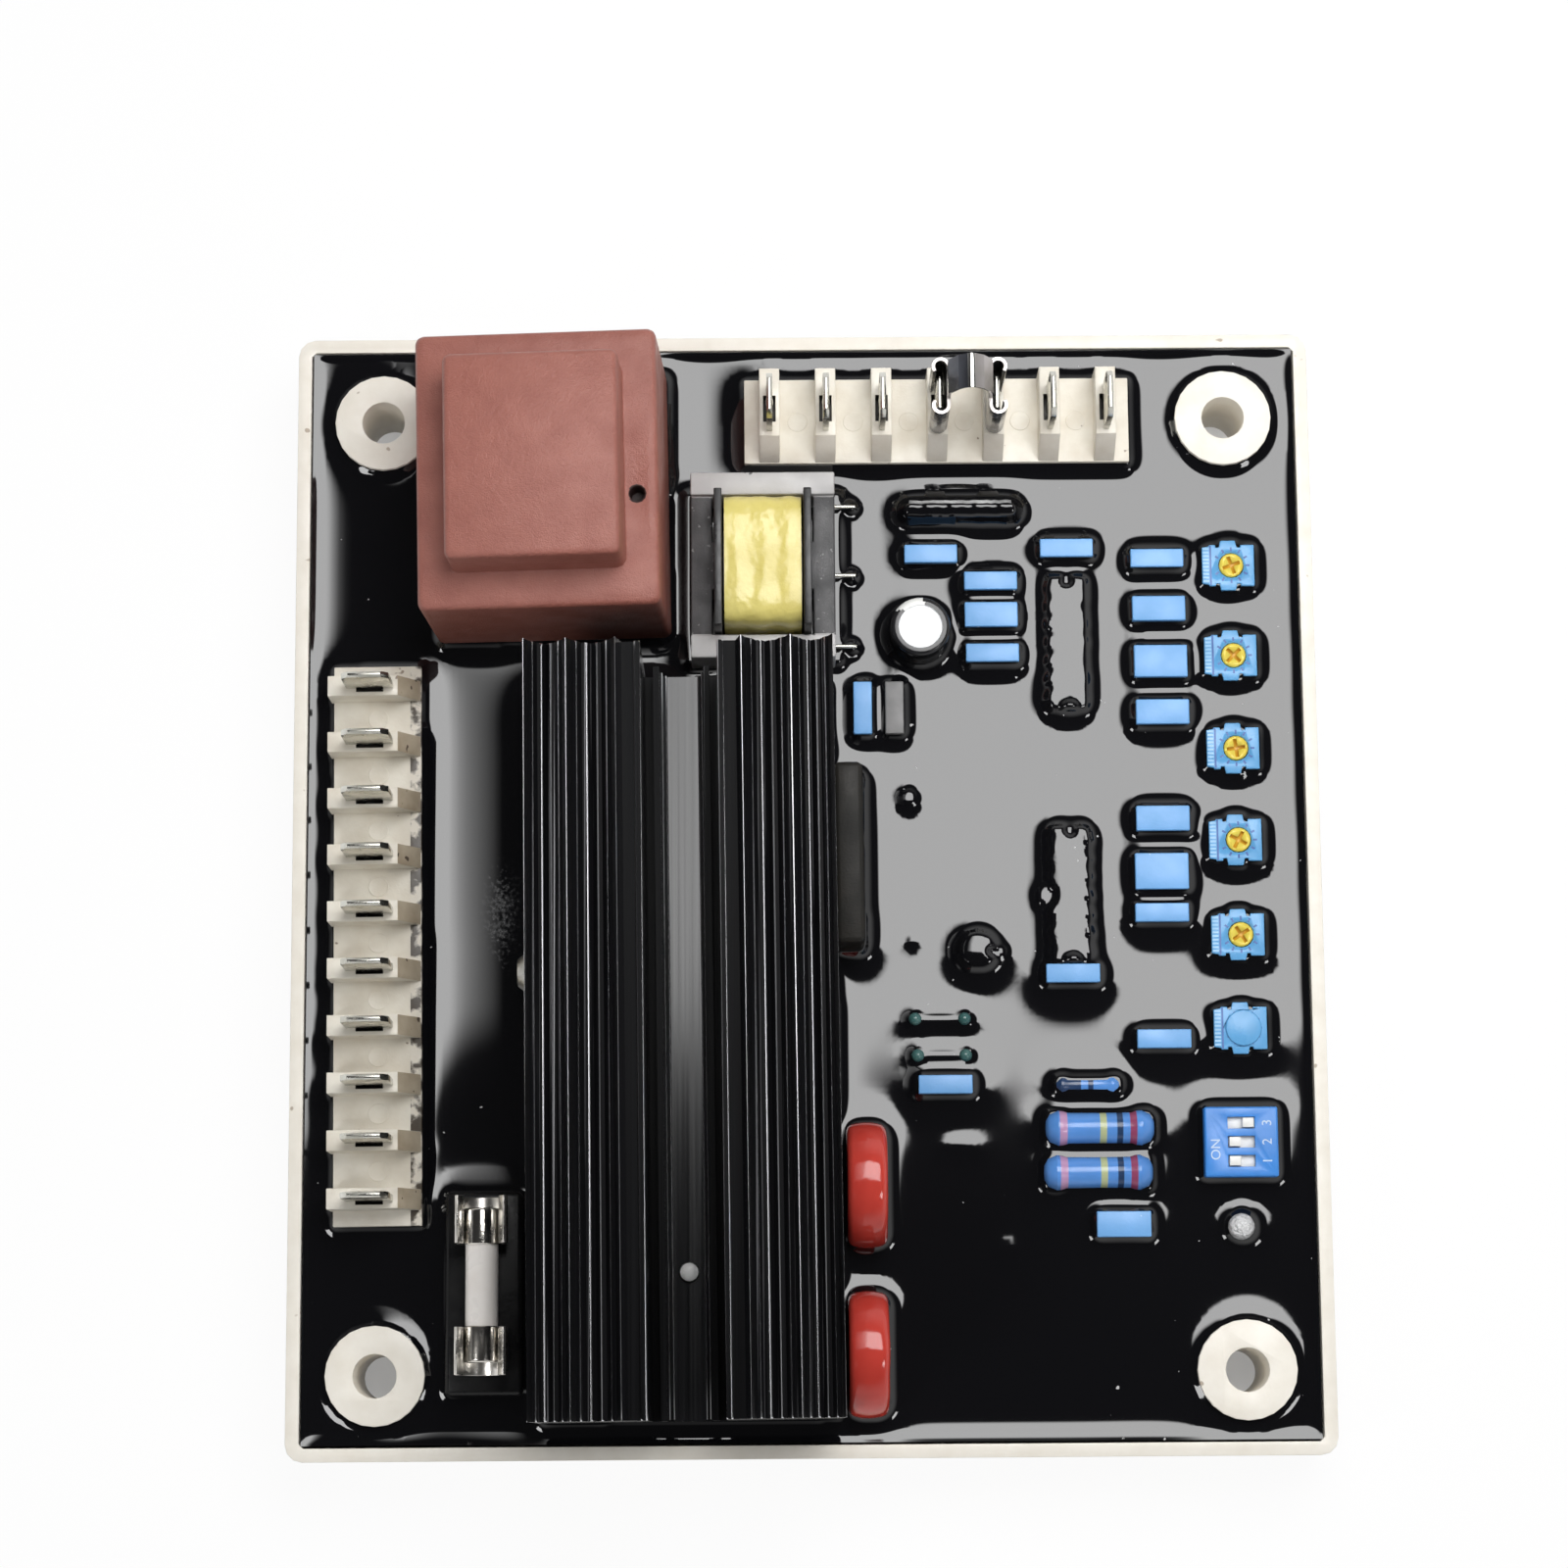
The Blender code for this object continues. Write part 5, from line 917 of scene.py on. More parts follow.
# %% Dyed aluminium with bare streaks
def extruded_finish(name, colour, worn_share, bare, smooth, rough, streaks=(500.0, 22.0, 500.0), **values):
    """Black dyed aluminium with lines along Y, and bare metal over a share of it."""
    made, tree, principled = start_finish(name, colour, 0.3, **values)
    lines = object_noise(tree, 1.0, 3.0, stretch=(2600.0, 12.0, 2600.0))
    paler = tuple(value * 1.8 for value in colour)
    shade = blend_colours(tree, to_range(tree, lines, 0.3, 0.7, 0.0, 1.0), colour, paler)
    nicks = object_noise(tree, 1.0, 4.0, stretch=streaks)
    nicked = to_range(tree, nicks, 0.92 - worn_share, 1.08 - worn_share, 0.0, 1.0)
    gloss = to_range(tree, lines, 0.35, 0.7, smooth, rough)
    show(tree, principled, blend_colours(tree, nicked, shade, bare), gloss)
    tree.links.new(nicked, principled.inputs["Metallic"])
    add_bump(tree, principled, lines, 0.25, 0.006)
    return made


anodised = extruded_finish("anodised_black", (0.005, 0.005, 0.006), 0.20, (0.7, 0.7, 0.7), 0.13, 0.22)
worn_crest = extruded_finish("anodised_crest", (0.07, 0.07, 0.073), 0.80, (0.66, 0.66, 0.68), 0.26, 0.38)
anodised_slope = extruded_finish("anodised_slope", (0.0035, 0.0035, 0.004), 0.31, (0.42, 0.42, 0.44),
                                 0.30, 0.42, streaks=(1500.0, 1.5, 1500.0), specular_ior_level=0.05)

# %% [markdown]
# ## Heat sink: which face gets which finish
#
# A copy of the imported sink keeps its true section. Only the tips of the ridges are rounded, and these new
# faces take the worn finish. Then every face is sorted by how it leans and how high it lies. Two small
# steps run along each wall of the channel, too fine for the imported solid, and are added here as bars.

# %% Ridges with worn tips
SINK_TURN = math.radians(0.5)
TIP_ROUND = 0.21
low, high = node_box("heat_sink")
sink_middle = (low + high) / 2
bm = from_node("heat_sink", 0.0, dissolve=False)
tips = [edge for edge in sharp_edges(bm.edges, 24.0)
        if edge.calc_length() > 50.0 and edge.is_convex and edge.verts[0].co.z > 40]
round_edges(bm, tips, TIP_ROUND, 4, material=1)
for face in bm.faces:
    spot = face.calc_center_median()
    aside = abs(spot.x - sink_middle.x + SINK_TURN * (spot.y - sink_middle.y))
    leans = 0.10 < abs(face.normal.x) < 0.97
    ledge = face.normal.z > 0.9 and (spot.z > 25.0 or aside > 3.3)
    if face.material_index == 0 and (leans or ledge):
        face.material_index = 2
print("ridge tips:", len(tips), "- dull faces:", sum(face.material_index == 2 for face in bm.faces))

# %% Small steps along the channel's walls
CHANNEL_STEPS = ((2.05, 2.92, 24.4), (2.55, 2.93, 26.6))
STEP_BOTTOM, STEP_ROUND = 22.5, 0.12
half_length = (high.y - low.y) / 2 - 0.35
placed = Matrix.Translation((sink_middle.x, sink_middle.y, 0)) @ Matrix.Rotation(SINK_TURN, 4, "Z")
for side in (-1, 1):
    for inner, outer, top in CHANNEL_STEPS:
        ends = sorted((side * inner, side * outer))
        verts = add_block(bm, (ends[0], -half_length, STEP_BOTTOM), (ends[1], half_length, top), material=2)
        on_corner = {vert for vert in verts
                     if abs(vert.co.z - top) < 1e-4 and abs(vert.co.x - side * inner) < 1e-4}
        corner = [edge for edge in {edge for vert in verts for edge in vert.link_edges}
                  if on_corner.issuperset(edge.verts)]
        bmesh.ops.transform(bm, verts=verts, matrix=placed)
        round_edges(bm, corner, STEP_ROUND, 2, clamp=False, material=1)
finish_piece("sink_extrusion", bm, [anodised, worn_crest, anodised_slope], ["heat_sink"],
             sharp=8.0)

# %% [markdown]
# ## Rivet and screw
#
# A rivet sits in the sink's channel and a screw clamps the package to its flank. Both are bright metal.
# The rivet's head is a pale, slightly frosted dot. The dark ring round it is painted shade: the head's sides
# get a dark metal finish, and its top face a pale one.

# %% Rivet head and screw head
rivet_side_painted_shade = metal_finish("rivet_steel_painted_shade", (0.12, 0.12, 0.12), 0.42, 0.6)
rivet_pale = moulded_finish("rivet_pale", (0.96, 0.96, 0.95), (0.70, 0.70, 0.69), 0.22, 0.4,
                            (500.0, 2600.0, 0.2))
screw_zinc = metal_finish("screw_zinc", (0.62, 0.61, 0.58), 0.25, 0.45)
bm = from_node("channel_rivet", 0.12, 2)
# Painted shade: faces that don't face up get the dark metal.
for face in bm.faces:
    face.material_index = 0 if face.normal.z > 0.5 else 1
finish_piece("rivet_head", bm, [rivet_pale, rivet_side_painted_shade], ["channel_rivet"])
finish_piece("screw_head", from_node("clamp_screw", 0.15, 2), [screw_zinc], ["clamp_screw"])

# %% [markdown]
# ## Power package
#
# The transistor stands upright against the sink's right flank, a slab of black epoxy. It is much duller
# than the resin below it and a little scuffed, so its gloss is low and its specks are large and grey.

# %% Black epoxy package
package_black = moulded_finish("package_black", (0.020, 0.018, 0.015), (0.012, 0.012, 0.011), 0.42, 0.62,
                               (260.0, 2600.0, 0.06), specks=((0.16, 0.16, 0.15), 500.0, 0.78),
                               specular_ior_level=0.22)
finish_piece("package_moulding", from_node("power_package", 0.3, 3), [package_black],
             ["power_package"])

# %% [markdown]
# ## Fuse holder and clips
#
# The fuse lies in two sprung clips on a black base. The clips were bent from one sheet of nickelled brass,
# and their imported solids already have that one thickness, so copies with a hair of rounding are enough.

# %% Base and clips
holder_black = moulded_finish("holder_black", (0.007, 0.007, 0.008), (0.012, 0.012, 0.012), 0.24, 0.40,
                              (300.0, 2400.0, 0.04), specular_ior_level=0.2)
nickel_sheet = metal_finish("clip_nickel", (0.92, 0.89, 0.84), 0.22, 0.40, depth=0.03)
finish_piece("fuse_base", from_node("fuse_holder", 0.3, 2), [holder_black], ["fuse_holder"])
for end in ("rear", "front"):
    node = "fuse_clip_" + end
    finish_piece("clip_sheet_" + end, from_node(node, 0.07, 2), [nickel_sheet], [node])

# %% [markdown]
# ## Cartridge fuse
#
# The fuse is a ceramic tube with a metal cap pressed on each end. All three are turned shapes that lie
# along Y. A cap's outer end is rounded and its inner end is a thin lip, so one profile is drawn for the
# front cap and mirrored for the rear one.

# %% Caps and tube
CAP_RADIUS, CAP_ROUND, TUBE_RADIUS = 2.6, 0.4, 2.15
nickel_cap = metal_finish("cap_nickel", (0.84, 0.81, 0.76), 0.10, 0.22, depth=0.03)
ceramic = moulded_finish("fuse_ceramic", (0.97, 0.93, 0.89), (0.90, 0.85, 0.80), 0.22, 0.38,
                         (400.0, 2600.0, 0.015))
for end in ("rear", "front"):
    low, high = node_box("fuse_cap_" + end)
    reach = (high.y - low.y) / 2
    profile = [(0.0, -reach)] + arc((CAP_RADIUS - CAP_ROUND, CAP_ROUND - reach), CAP_ROUND, -90, 0, 4)
    profile += [(CAP_RADIUS, reach - 0.1), (CAP_RADIUS - 0.1, reach), (0.0, reach)]
    if end == "rear":
        profile = [(radius, -height) for radius, height in profile]
    bm = bmesh.new()
    add_turned(bm, profile, (low + high) / 2, axis="Y", steps=40)
    finish_piece("cap_sleeve_" + end, bm, [nickel_cap], ["fuse_cap_" + end])
low, high = node_box("fuse_tube")
reach = (high.y - low.y) / 2
bm = bmesh.new()
add_turned(bm, [(0.0, -reach), (TUBE_RADIUS, -reach), (TUBE_RADIUS, reach), (0.0, reach)], (low + high) / 2,
           axis="Y", steps=40)
finish_piece("fuse_tube_ceramic", bm, [ceramic], ["fuse_tube"])

# %% [markdown]
# ## Terminal strips: tools
#
# Each strip is a cream moulding with a rib beside each flat tab, a socket sunk in each rib and a ring mark
# between two ribs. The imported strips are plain, so they are made anew. A rib or a tab has one outline seen
# from its side. That outline is one face, pushed out along the strip, and then its edges are rounded.

# %% Plates and ribs pushed out of an outline
def add_plate(bm, outline, low, high, material=0):
    """An outline given as depth and height, pushed out along X from low to high."""
    verts = [bm.verts.new((low, depth, height)) for depth, height in outline]
    face = bm.faces.new(verts)
    face.material_index = material
    pushed = bmesh.ops.extrude_face_region(bm, geom=[face])["geom"]
    moved = [item for item in pushed if isinstance(item, bmesh.types.BMVert)]
    bmesh.ops.translate(bm, verts=moved, vec=(high - low, 0, 0))
    return verts + moved


def around(verts, kind):
    """The faces or edges that touch some vertices, each one once."""
    return list({item for vert in verts for item in getattr(vert, kind)})


def soften(bm, verts, offset, segments=2):
    """Rounds the sharp edges between some vertices."""
    bmesh.ops.recalc_face_normals(bm, faces=around(verts, "link_faces"))
    round_edges(bm, sharp_edges(around(verts, "link_edges"), 20.0), offset, segments)


# %% [markdown]
# ## Terminal strips: one rib
#
# A rib has a sloping front, which is stained on the real side strip and darkened with painted shade on the
# top strip, and a deep socket in its top. Four cuts mark the socket's four sides on the rib, and the small
# face between them is pushed down and gets the socket's painted shade.

# %% One rib with its socket
PITCH, DEPTH, BASE_TOP, RIB_TOP, STRIP_LOW = 7.62, 11.8, 16.6, 21.1, 9.3
TAB_BACK, TAB_FRONT, TAB_TOP = -2.1, -8.4, 29.1
TAB_MIDDLE = (TAB_BACK + TAB_FRONT) / 2
RIB_HALF, SOCKET_HALF, SOCKET_REACH, SOCKET_DEPTH = 1.375, 0.82, 1.8, 2.4
TAB_FACE, RAMP_FACE, SOCKET_FACE, FRONT_FACE = 1, 2, 3, 4


def cut_through(bm, faces, place, way):
    """Cuts some faces with a plane and returns them with the new ones."""
    edges = list({edge for face in faces for edge in face.edges})
    verts = list({vert for face in faces for vert in face.verts})
    cut = bmesh.ops.bisect_plane(bm, geom=faces + edges + verts, plane_co=place, plane_no=way)
    return [item for item in cut["geom"] if isinstance(item, bmesh.types.BMFace)]


def strip_rib(bm, middle):
    """A rib with a sloping front and a socket sunk in its top."""
    outline = [(0.4, STRIP_LOW), (0.4, RIB_TOP), (-9.0, RIB_TOP), (-11.7, BASE_TOP), (-11.7, STRIP_LOW)]
    verts = add_plate(bm, outline, middle - RIB_HALF, middle + RIB_HALF)
    faces = around(verts, "link_faces")
    for side in (-1, 1):
        faces = cut_through(bm, faces, (middle + side * SOCKET_HALF, 0, 0), (1, 0, 0))
    for side in (1, -1):
        faces = cut_through(bm, faces, (0, TAB_MIDDLE + side * SOCKET_REACH, 0), (0, 1, 0))
    above = Vector((middle, TAB_MIDDLE, RIB_TOP))
    socket = min(faces, key=lambda face: (face.calc_center_median() - above).length)
    sunk = bmesh.ops.extrude_discrete_faces(bm, faces=[socket])["faces"][0]
    bmesh.ops.translate(bm, verts=sunk.verts, vec=(0, 0, -SOCKET_DEPTH))
    sunk.material_index = SOCKET_FACE
    for wall in (face for edge in sunk.edges for face in edge.link_faces):
        wall.material_index = SOCKET_FACE
    faces = [face for face in faces if face.is_valid]
    for face in faces:
        if 0.3 < abs(face.normal.z) < 0.95:
            face.material_index = RAMP_FACE
    soften(bm, list({vert for face in faces for vert in face.verts}), 0.10)


# %% [markdown]
# ## Terminal strips: one tab
#
# A tab is a flat blade of tinned brass. Its upper corners are cut off and its top edge is ground to a
# blunt point, so that a receptacle slides on easily. The small dimple on each side is what clicks into it.

# %% One tab with its dimples
TAB_HALF, TAB_CORNER, TIP_CUT = 0.4, (1.0, 1.3), 0.27
DIMPLE, DIMPLE_HEIGHT = [(0.0, 0.10), (0.35, 0.06), (0.62, 0.0)], 24.6


def strip_tab(bm, middle):
    """A flat tab with its two upper corners cut off and a small dimple on each side."""
    aside, below = TAB_CORNER
    outline = [(TAB_FRONT, STRIP_LOW), (TAB_BACK, STRIP_LOW), (TAB_BACK, TAB_TOP - below),
               (TAB_BACK - aside, TAB_TOP), (TAB_FRONT + aside, TAB_TOP), (TAB_FRONT, TAB_TOP - below)]
    verts = add_plate(bm, outline, middle - TAB_HALF, middle + TAB_HALF, material=TAB_FACE)
    tip = [edge for edge in around(verts, "link_edges")
           if all(vert.co.z > TAB_TOP - 0.01 for vert in edge.verts)
           and abs(edge.verts[0].co.x - edge.verts[1].co.x) < 0.1]
    ground = round_edges(bm, tip, TIP_CUT, 1, clamp=False)["faces"]
    blade = {vert for face in ground for vert in face.verts} | {vert for vert in verts if vert.is_valid}
    soften(bm, list(blade), 0.05)
    for side in (-1, 1):
        dimple = add_turned(bm, DIMPLE, (0, 0, 0), steps=16, material=TAB_FACE)
        place = Matrix.Translation((middle + side * (TAB_HALF - 0.005), TAB_MIDDLE, DIMPLE_HEIGHT))
        bmesh.ops.transform(bm, verts=dimple, matrix=place @ Matrix.Rotation(side * math.pi / 2, 4, "Y"))


# %% [markdown]
# ## Terminal strips: finishes
#
# The cream of the strips is a little darker than the tray's. The side strip has a dirty front wall, where
# flux and resin have smeared, and brown ramps. The top strip is clean, and its ramps are a slightly darker
# cream, which is painted shade. The sockets' floors and walls get a near-black painted shade.

# %% Finishes of the strips
strip_cream = moulded_finish("strip_cream", (0.80, 0.76, 0.67), (0.66, 0.60, 0.50), 0.35, 0.6,
                             (600.0, 3000.0, 0.05), specks=((0.30, 0.24, 0.18), 700.0, 0.77))
ramp_tan = moulded_finish("strip_ramp", (0.56, 0.48, 0.36), (0.36, 0.28, 0.19), 0.35, 0.6,
                          (500.0, 2500.0, 0.08), specks=((0.10, 0.07, 0.05), 800.0, 0.70))
# Painted shade on the sloping fronts of the top strip's ribs.
ramp_painted_shade = moulded_finish("strip_ramp_painted_shade", (0.74, 0.69, 0.61), (0.62, 0.56, 0.47), 0.35, 0.6,
                           (500.0, 2500.0, 0.05))
# Painted shade in the sockets.
socket_painted_shade = moulded_finish("strip_socket_painted_shade", (0.06, 0.05, 0.04), (0.02, 0.017, 0.014), 0.4, 0.6)
tinned = metal_finish("tab_tinned", (0.66, 0.65, 0.60), 0.16, 0.36, tarnish=(0.36, 0.35, 0.28))
smeared_cream, tree, principled = start_finish("strip_smeared", (0.76, 0.71, 0.62), 0.4)
smear = object_noise(tree, 420.0, 5.0)
dirty = to_range(tree, smear, 0.46, 0.56, 0.0, 1.0)
show(tree, principled, blend_colours(tree, dirty, (0.74, 0.69, 0.60), (0.07, 0.055, 0.04)),
     to_range(tree, dirty, 0.0, 1.0, 0.5, 0.38))
add_bump(tree, principled, smear, 0.6, 0.25)

# %% [markdown]
# ## Terminal strips: the whole row
#
# A strip is built lying along X with its back at nought, then turned and moved to its place on the board.
# Its front edge is cut off from the base as a face row of its own, so that it can have its own finish.

# %% Both strips
RING_MARK = [(0.0, 0.03), (1.15, 0.03), (1.28, 0.06), (1.42, -0.02)]


def make_strip(name, node, count, turn, origin, ramp, front):
    """A whole strip in its own frame, then turned and moved to its place."""
    bm = bmesh.new()
    half = (count - 1) * PITCH / 2 + 3.45
    base = add_block(bm, (-half, -DEPTH, STRIP_LOW), (half, 0.0, BASE_TOP))
    for face in cut_through(bm, around(base, "link_faces"), (0, 1.5 - DEPTH, 0), (0, 1, 0)):
        if face.calc_center_median().y < 1.4 - DEPTH:
            face.material_index = FRONT_FACE
    soften(bm, list({vert for face in bm.faces for vert in face.verts}), 0.14)
    for index in range(count):
        middle = (index - (count - 1) / 2) * PITCH
        strip_rib(bm, middle)
        strip_tab(bm, middle)
        if index < count - 1:
            mark = [(radius, BASE_TOP + rise) for radius, rise in RING_MARK]
            add_turned(bm, mark, (middle + PITCH / 2, -6.0, 0.0), steps=28)
    place = Matrix.Translation((*origin, 0)) @ Matrix.Rotation(math.radians(turn), 4, "Z")
    bmesh.ops.transform(bm, verts=bm.verts, matrix=place)
    finishes = [strip_cream, tinned, ramp, socket_painted_shade, front]
    finish_piece(name, bm, finishes, [node], sharp=32.0)


make_strip("strip_moulding_top", "terminal_strip_top", 7, 0.0, (18.21, 69.8), ramp_painted_shade, strip_cream)
make_strip("strip_moulding_side", "terminal_strip_side", 10, 90.5, (-63.5, -7.72), ramp_tan, smeared_cream)

# %% [markdown]
# ## Jumper link: rounding a folded sheet
#
# The link is one bright strip, arched over two neighbouring tabs, whose ends are curled round them. The
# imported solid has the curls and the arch. Its ridge is rounded wide, because a bent sheet never has a sharp
# fold, and every other edge gets a hair of rounding, all at once: a part of them alone would leave the big
# flat faces with holes in them badly shaded.

# %% Round the ridge and the edges
RIDGE_ROUND, SHEET_ROUND = 0.62, 0.17
bm = from_node("jumper_link", 0.0)
low, high = node_box("jumper_link")
middle = (low + high) / 2
ridge = [edge for edge in bm.edges
         if edge.calc_length() > 3.0 and min(vert.co.z for vert in edge.verts) > 37.0
         and abs(edge.verts[0].co.x - middle.x) < 0.1 and edge.is_convex]
round_edges(bm, ridge, RIDGE_ROUND, 4, clamp=False, material=0)
round_edges(bm, sharp_edges(bm.edges, 25.0), SHEET_ROUND, 3, material=0)
print("link faces after rounding:", len(bm.faces))

# %% [markdown]
# ## Jumper link: one metal, five looks
#
# A mirror-bright sheet shows the room, so its left half looks dark, its right half satin and its ridge
# white. The room in this scene is simpler than the real one, so these looks are painted: the left half gets
# a painted shade, and the right half and the tops of the curls a painted grey reflection. Inside the curls
# and on the outer sides below them little light arrives, so these faces get painted shade as well. The faces
# inside the curls are found by how near they lie to the line round which the sheet was curled.

# %% Painted reflections and shade on the link, by place
link_plate = metal_finish("link_plated", (0.86, 0.85, 0.83), 0.10, 0.22, depth=0.015)
link_shade = metal_finish("link_shaded", (0.085, 0.09, 0.105), 0.14, 0.26, depth=0.015,
                          tarnish=(0.06, 0.06, 0.07))
link_painted_reflection = metal_finish("link_painted_reflection", (0.46, 0.43, 0.425), 0.30, 0.42, depth=0.015)
link_inside_painted_shade = metal_finish("link_inside_painted_shade", (0.07, 0.07, 0.072), 0.25, 0.4, depth=0.01,
                           tarnish=(0.04, 0.04, 0.04))
link_side_painted_shade = metal_finish("link_side_painted_shade", (0.34, 0.34, 0.35), 0.18, 0.32, depth=0.015, tarnish=(0.2, 0.2, 0.2))
SHADE, PAINTED_REFLECTION, INSIDE, SIDE = 1, 2, 3, 4
CURL_RADIUS = 1.24
ARCH_BOTTOM, CURL_TOP = 34.6, 32.3
for face in bm.faces:
    spot = face.calc_center_median()
    on_left = spot.x < middle.x
    curl_x = low.x + CURL_RADIUS if on_left else high.x - CURL_RADIUS
    curl_y = min(max(spot.y, low.y + 1.25), high.y - 1.25)
    away = math.hypot(spot.x - curl_x, spot.y - curl_y)
    # Painted reflection on the arch: shade on its left side, grey on its right side.
    if spot.z > ARCH_BOTTOM and abs(face.normal.x) > 0.5 and abs(spot.x - middle.x) > 0.7:
        face.material_index = SHADE if on_left else PAINTED_REFLECTION
    # Painted shade inside the curls and on the sides below them, a dimmer painted reflection on the curl
    # tops.
    elif spot.z < CURL_TOP + 0.15 and away < 1.0 and face.normal.z < 0.98:
        face.material_index = INSIDE
    elif spot.z > CURL_TOP and face.normal.z > 0.98 and away < 1.3:
        face.material_index = PAINTED_REFLECTION
    elif spot.z < CURL_TOP - 0.1 and abs(face.normal.z) < 0.3:
        face.material_index = SIDE
finish_piece("link_sheet", bm, [link_plate, link_shade, link_painted_reflection, link_inside_painted_shade, link_side_painted_shade],
             ["jumper_link"], sharp=20.0)

# %% [markdown]
# ## Small blue boxes
#
# Seventeen film capacitors and one grey box have sharp corners and are potted so that only their tops stand
# out. Each is made fresh between the corners of its node, with a narrow rounded edge and a finish that is
# scuffed here and there. A loop makes them all, because they differ only in place and size.

# %% Film boxes and the grey box
film_blue = moulded_finish("film_blue", (0.165, 0.40, 0.76), (0.125, 0.34, 0.66), 0.30, 0.45,
                           (500.0, 2400.0, 0.03), specks=((0.60, 0.75, 0.92), 900.0, 0.78))
box_grey = moulded_finish("box_grey", (0.21, 0.205, 0.205), (0.14, 0.14, 0.14), 0.35, 0.55)


def small_box(name, node, finish):
    """A box with narrow rounded edges in the place of a node."""
    bm = bmesh.new()
    add_block(bm, *node_box(node), bevel=0.16, segments=3)
    finish_piece(name, bm, [finish], [node])


for number in range(1, 18):
    small_box("film_box_" + str(number), "film_capacitor_" + str(number), film_blue)
small_box("grey_box", "grey_capacitor", box_grey)

# %% [markdown]
# ## Electrolytic can
#
# An aluminium can in a black shrunk sleeve. The sleeve curls over the can's edge and leaves a bright disc
# bare. A pale stripe runs down one side of the sleeve. Sleeve and disc are spun from two profiles that
# meet, and are merged into one piece.

# %% Sleeve, disc and stripe
DISC_RADIUS, SLEEVE_ROUND = 2.95, 0.7
sleeve_black = moulded_finish("sleeve_black", (0.012, 0.012, 0.013), (0.02, 0.02, 0.022), 0.14, 0.28,
                              (200.0, 1500.0, 0.02))
sleeve_white = moulded_finish("sleeve_white", (0.78, 0.78, 0.76), (0.66, 0.66, 0.64), 0.25, 0.4)
can_top = moulded_finish("can_aluminium", (0.86, 0.87, 0.88), (0.76, 0.78, 0.80), 0.22, 0.36,
                         (300.0, 2600.0, 0.015))
low, high = node_box("electrolytic_capacitor")
middle = (low + high) / 2
outer = (high.x - low.x) / 2
lip = (DISC_RADIUS, high.z - 0.02)
profile = [(0.0, low.z), (outer, low.z), (outer, high.z - SLEEVE_ROUND)]
profile += arc((outer - SLEEVE_ROUND, high.z - SLEEVE_ROUND), SLEEVE_ROUND, 15, 85, 5) + [lip]
disc = [lip, (DISC_RADIUS - 0.1, high.z - 0.12), (0.0, high.z - 0.10)]
bm = bmesh.new()
add_turned(bm, profile, (middle.x, middle.y, 0.0), steps=64)
add_turned(bm, disc, (middle.x, middle.y, 0.0), steps=64, material=1)
for face in bm.faces:
    spot = face.calc_center_median()
    at_rear = spot.y - middle.y > 0.55 * outer and spot.x < middle.x + 0.5
    if face.material_index == 0 and spot.z > low.z + 6 and at_rear:
        face.material_index = 2
bmesh.ops.remove_doubles(bm, verts=bm.verts, dist=1e-4)
finish_piece("can_sleeve", bm, [sleeve_black, can_top, sleeve_white],
             ["electrolytic_capacitor"])

# %% [markdown]
# ## Dipped discs
#
# Two discs were dipped in red lacquer and stand upright in the resin, so one sees their rims. Dipping gives
# soft shoulders and a rim that is slightly crowned. The half profile is a shallow parabola that runs into
# an arc. A noise then pushes the skin by less than a tenth of a millimetre.

# %% Two discs
RIM_CROWN, SHOULDER = 0.24, 0.85
red_dip = moulded_finish("dip_red", (0.56, 0.055, 0.040), (0.48, 0.042, 0.030), 0.08, 0.15,
                         (90.0, 700.0, 0.05))
for end in ("rear", "front"):
    node = "dipped_disc_" + end
    low, high = node_box(node)
    rim, thick = (high.z - low.z) / 2, (high.x - low.x) / 2
    flat = thick - SHOULDER
    tilt = math.atan(2 * RIM_CROWN / flat)
    corner = (thick - flat) / (1 - math.sin(tilt))
    half = [(rim - RIM_CROWN * (x / flat) ** 2, x) for x in (0.0, flat * 0.25, flat * 0.5, flat * 0.75)]
    turning = (rim - RIM_CROWN - corner * math.cos(tilt), thick - corner)
    half += arc(turning, corner, math.degrees(tilt), 90, 8)
    profile = [(0.0, -thick)] + [(radius, -x) for radius, x in half[:0:-1]] + half + [(0.0, thick)]
    bm = bmesh.new()
    add_turned(bm, profile, (low + high) / 2, axis="X", steps=72)
    for vert in bm.verts:
        vert.co.x += 0.08 * noise.noise(Vector((vert.co.x * 0.2, vert.co.y * 0.25, vert.co.z * 0.25)))
    finish_piece("dip_coating_" + end, bm, [red_dip], [node], sharp=60.0)

# %% [markdown]
# ## Trimmers
#
# A trimmer is a small blue case with a yellow rotor that a screwdriver turns. Its imported body is copied,
# and only the outer edges are rounded, because the round recess for the rotor must stay crisp. A groove, a
# comb of fine ribs beside it and the scale ticks are shallow blocks set into the top. The groove and the
# ticks are a dark blue that is painted shade, and the ribs a paler blue that is painted highlight.

# %% Blue case with groove, comb and ticks
TRIMMER_TOP = 16.0
trimmer_blue = moulded_finish("trimmer_blue", (0.12, 0.37, 0.68), (0.09, 0.31, 0.58), 0.25, 0.4,
                              (500.0, 2600.0, 0.03))
trimmer_painted_shade = moulded_finish("trimmer_shade", (0.015, 0.10, 0.36), (0.01, 0.07, 0.28), 0.3, 0.5)
trimmer_painted_highlight = moulded_finish("trimmer_painted_highlight", (0.30, 0.54, 0.78), (0.20, 0.45, 0.70), 0.3, 0.5)


def dial_centre(number):
    """The middle of a trimmer's dial at the top of its case."""
    low, high = node_box("trimmer_body_" + str(number))
    return Vector(((low.x + high.x) / 2 + 0.4, (low.y + high.y) / 2, TRIMMER_TOP))


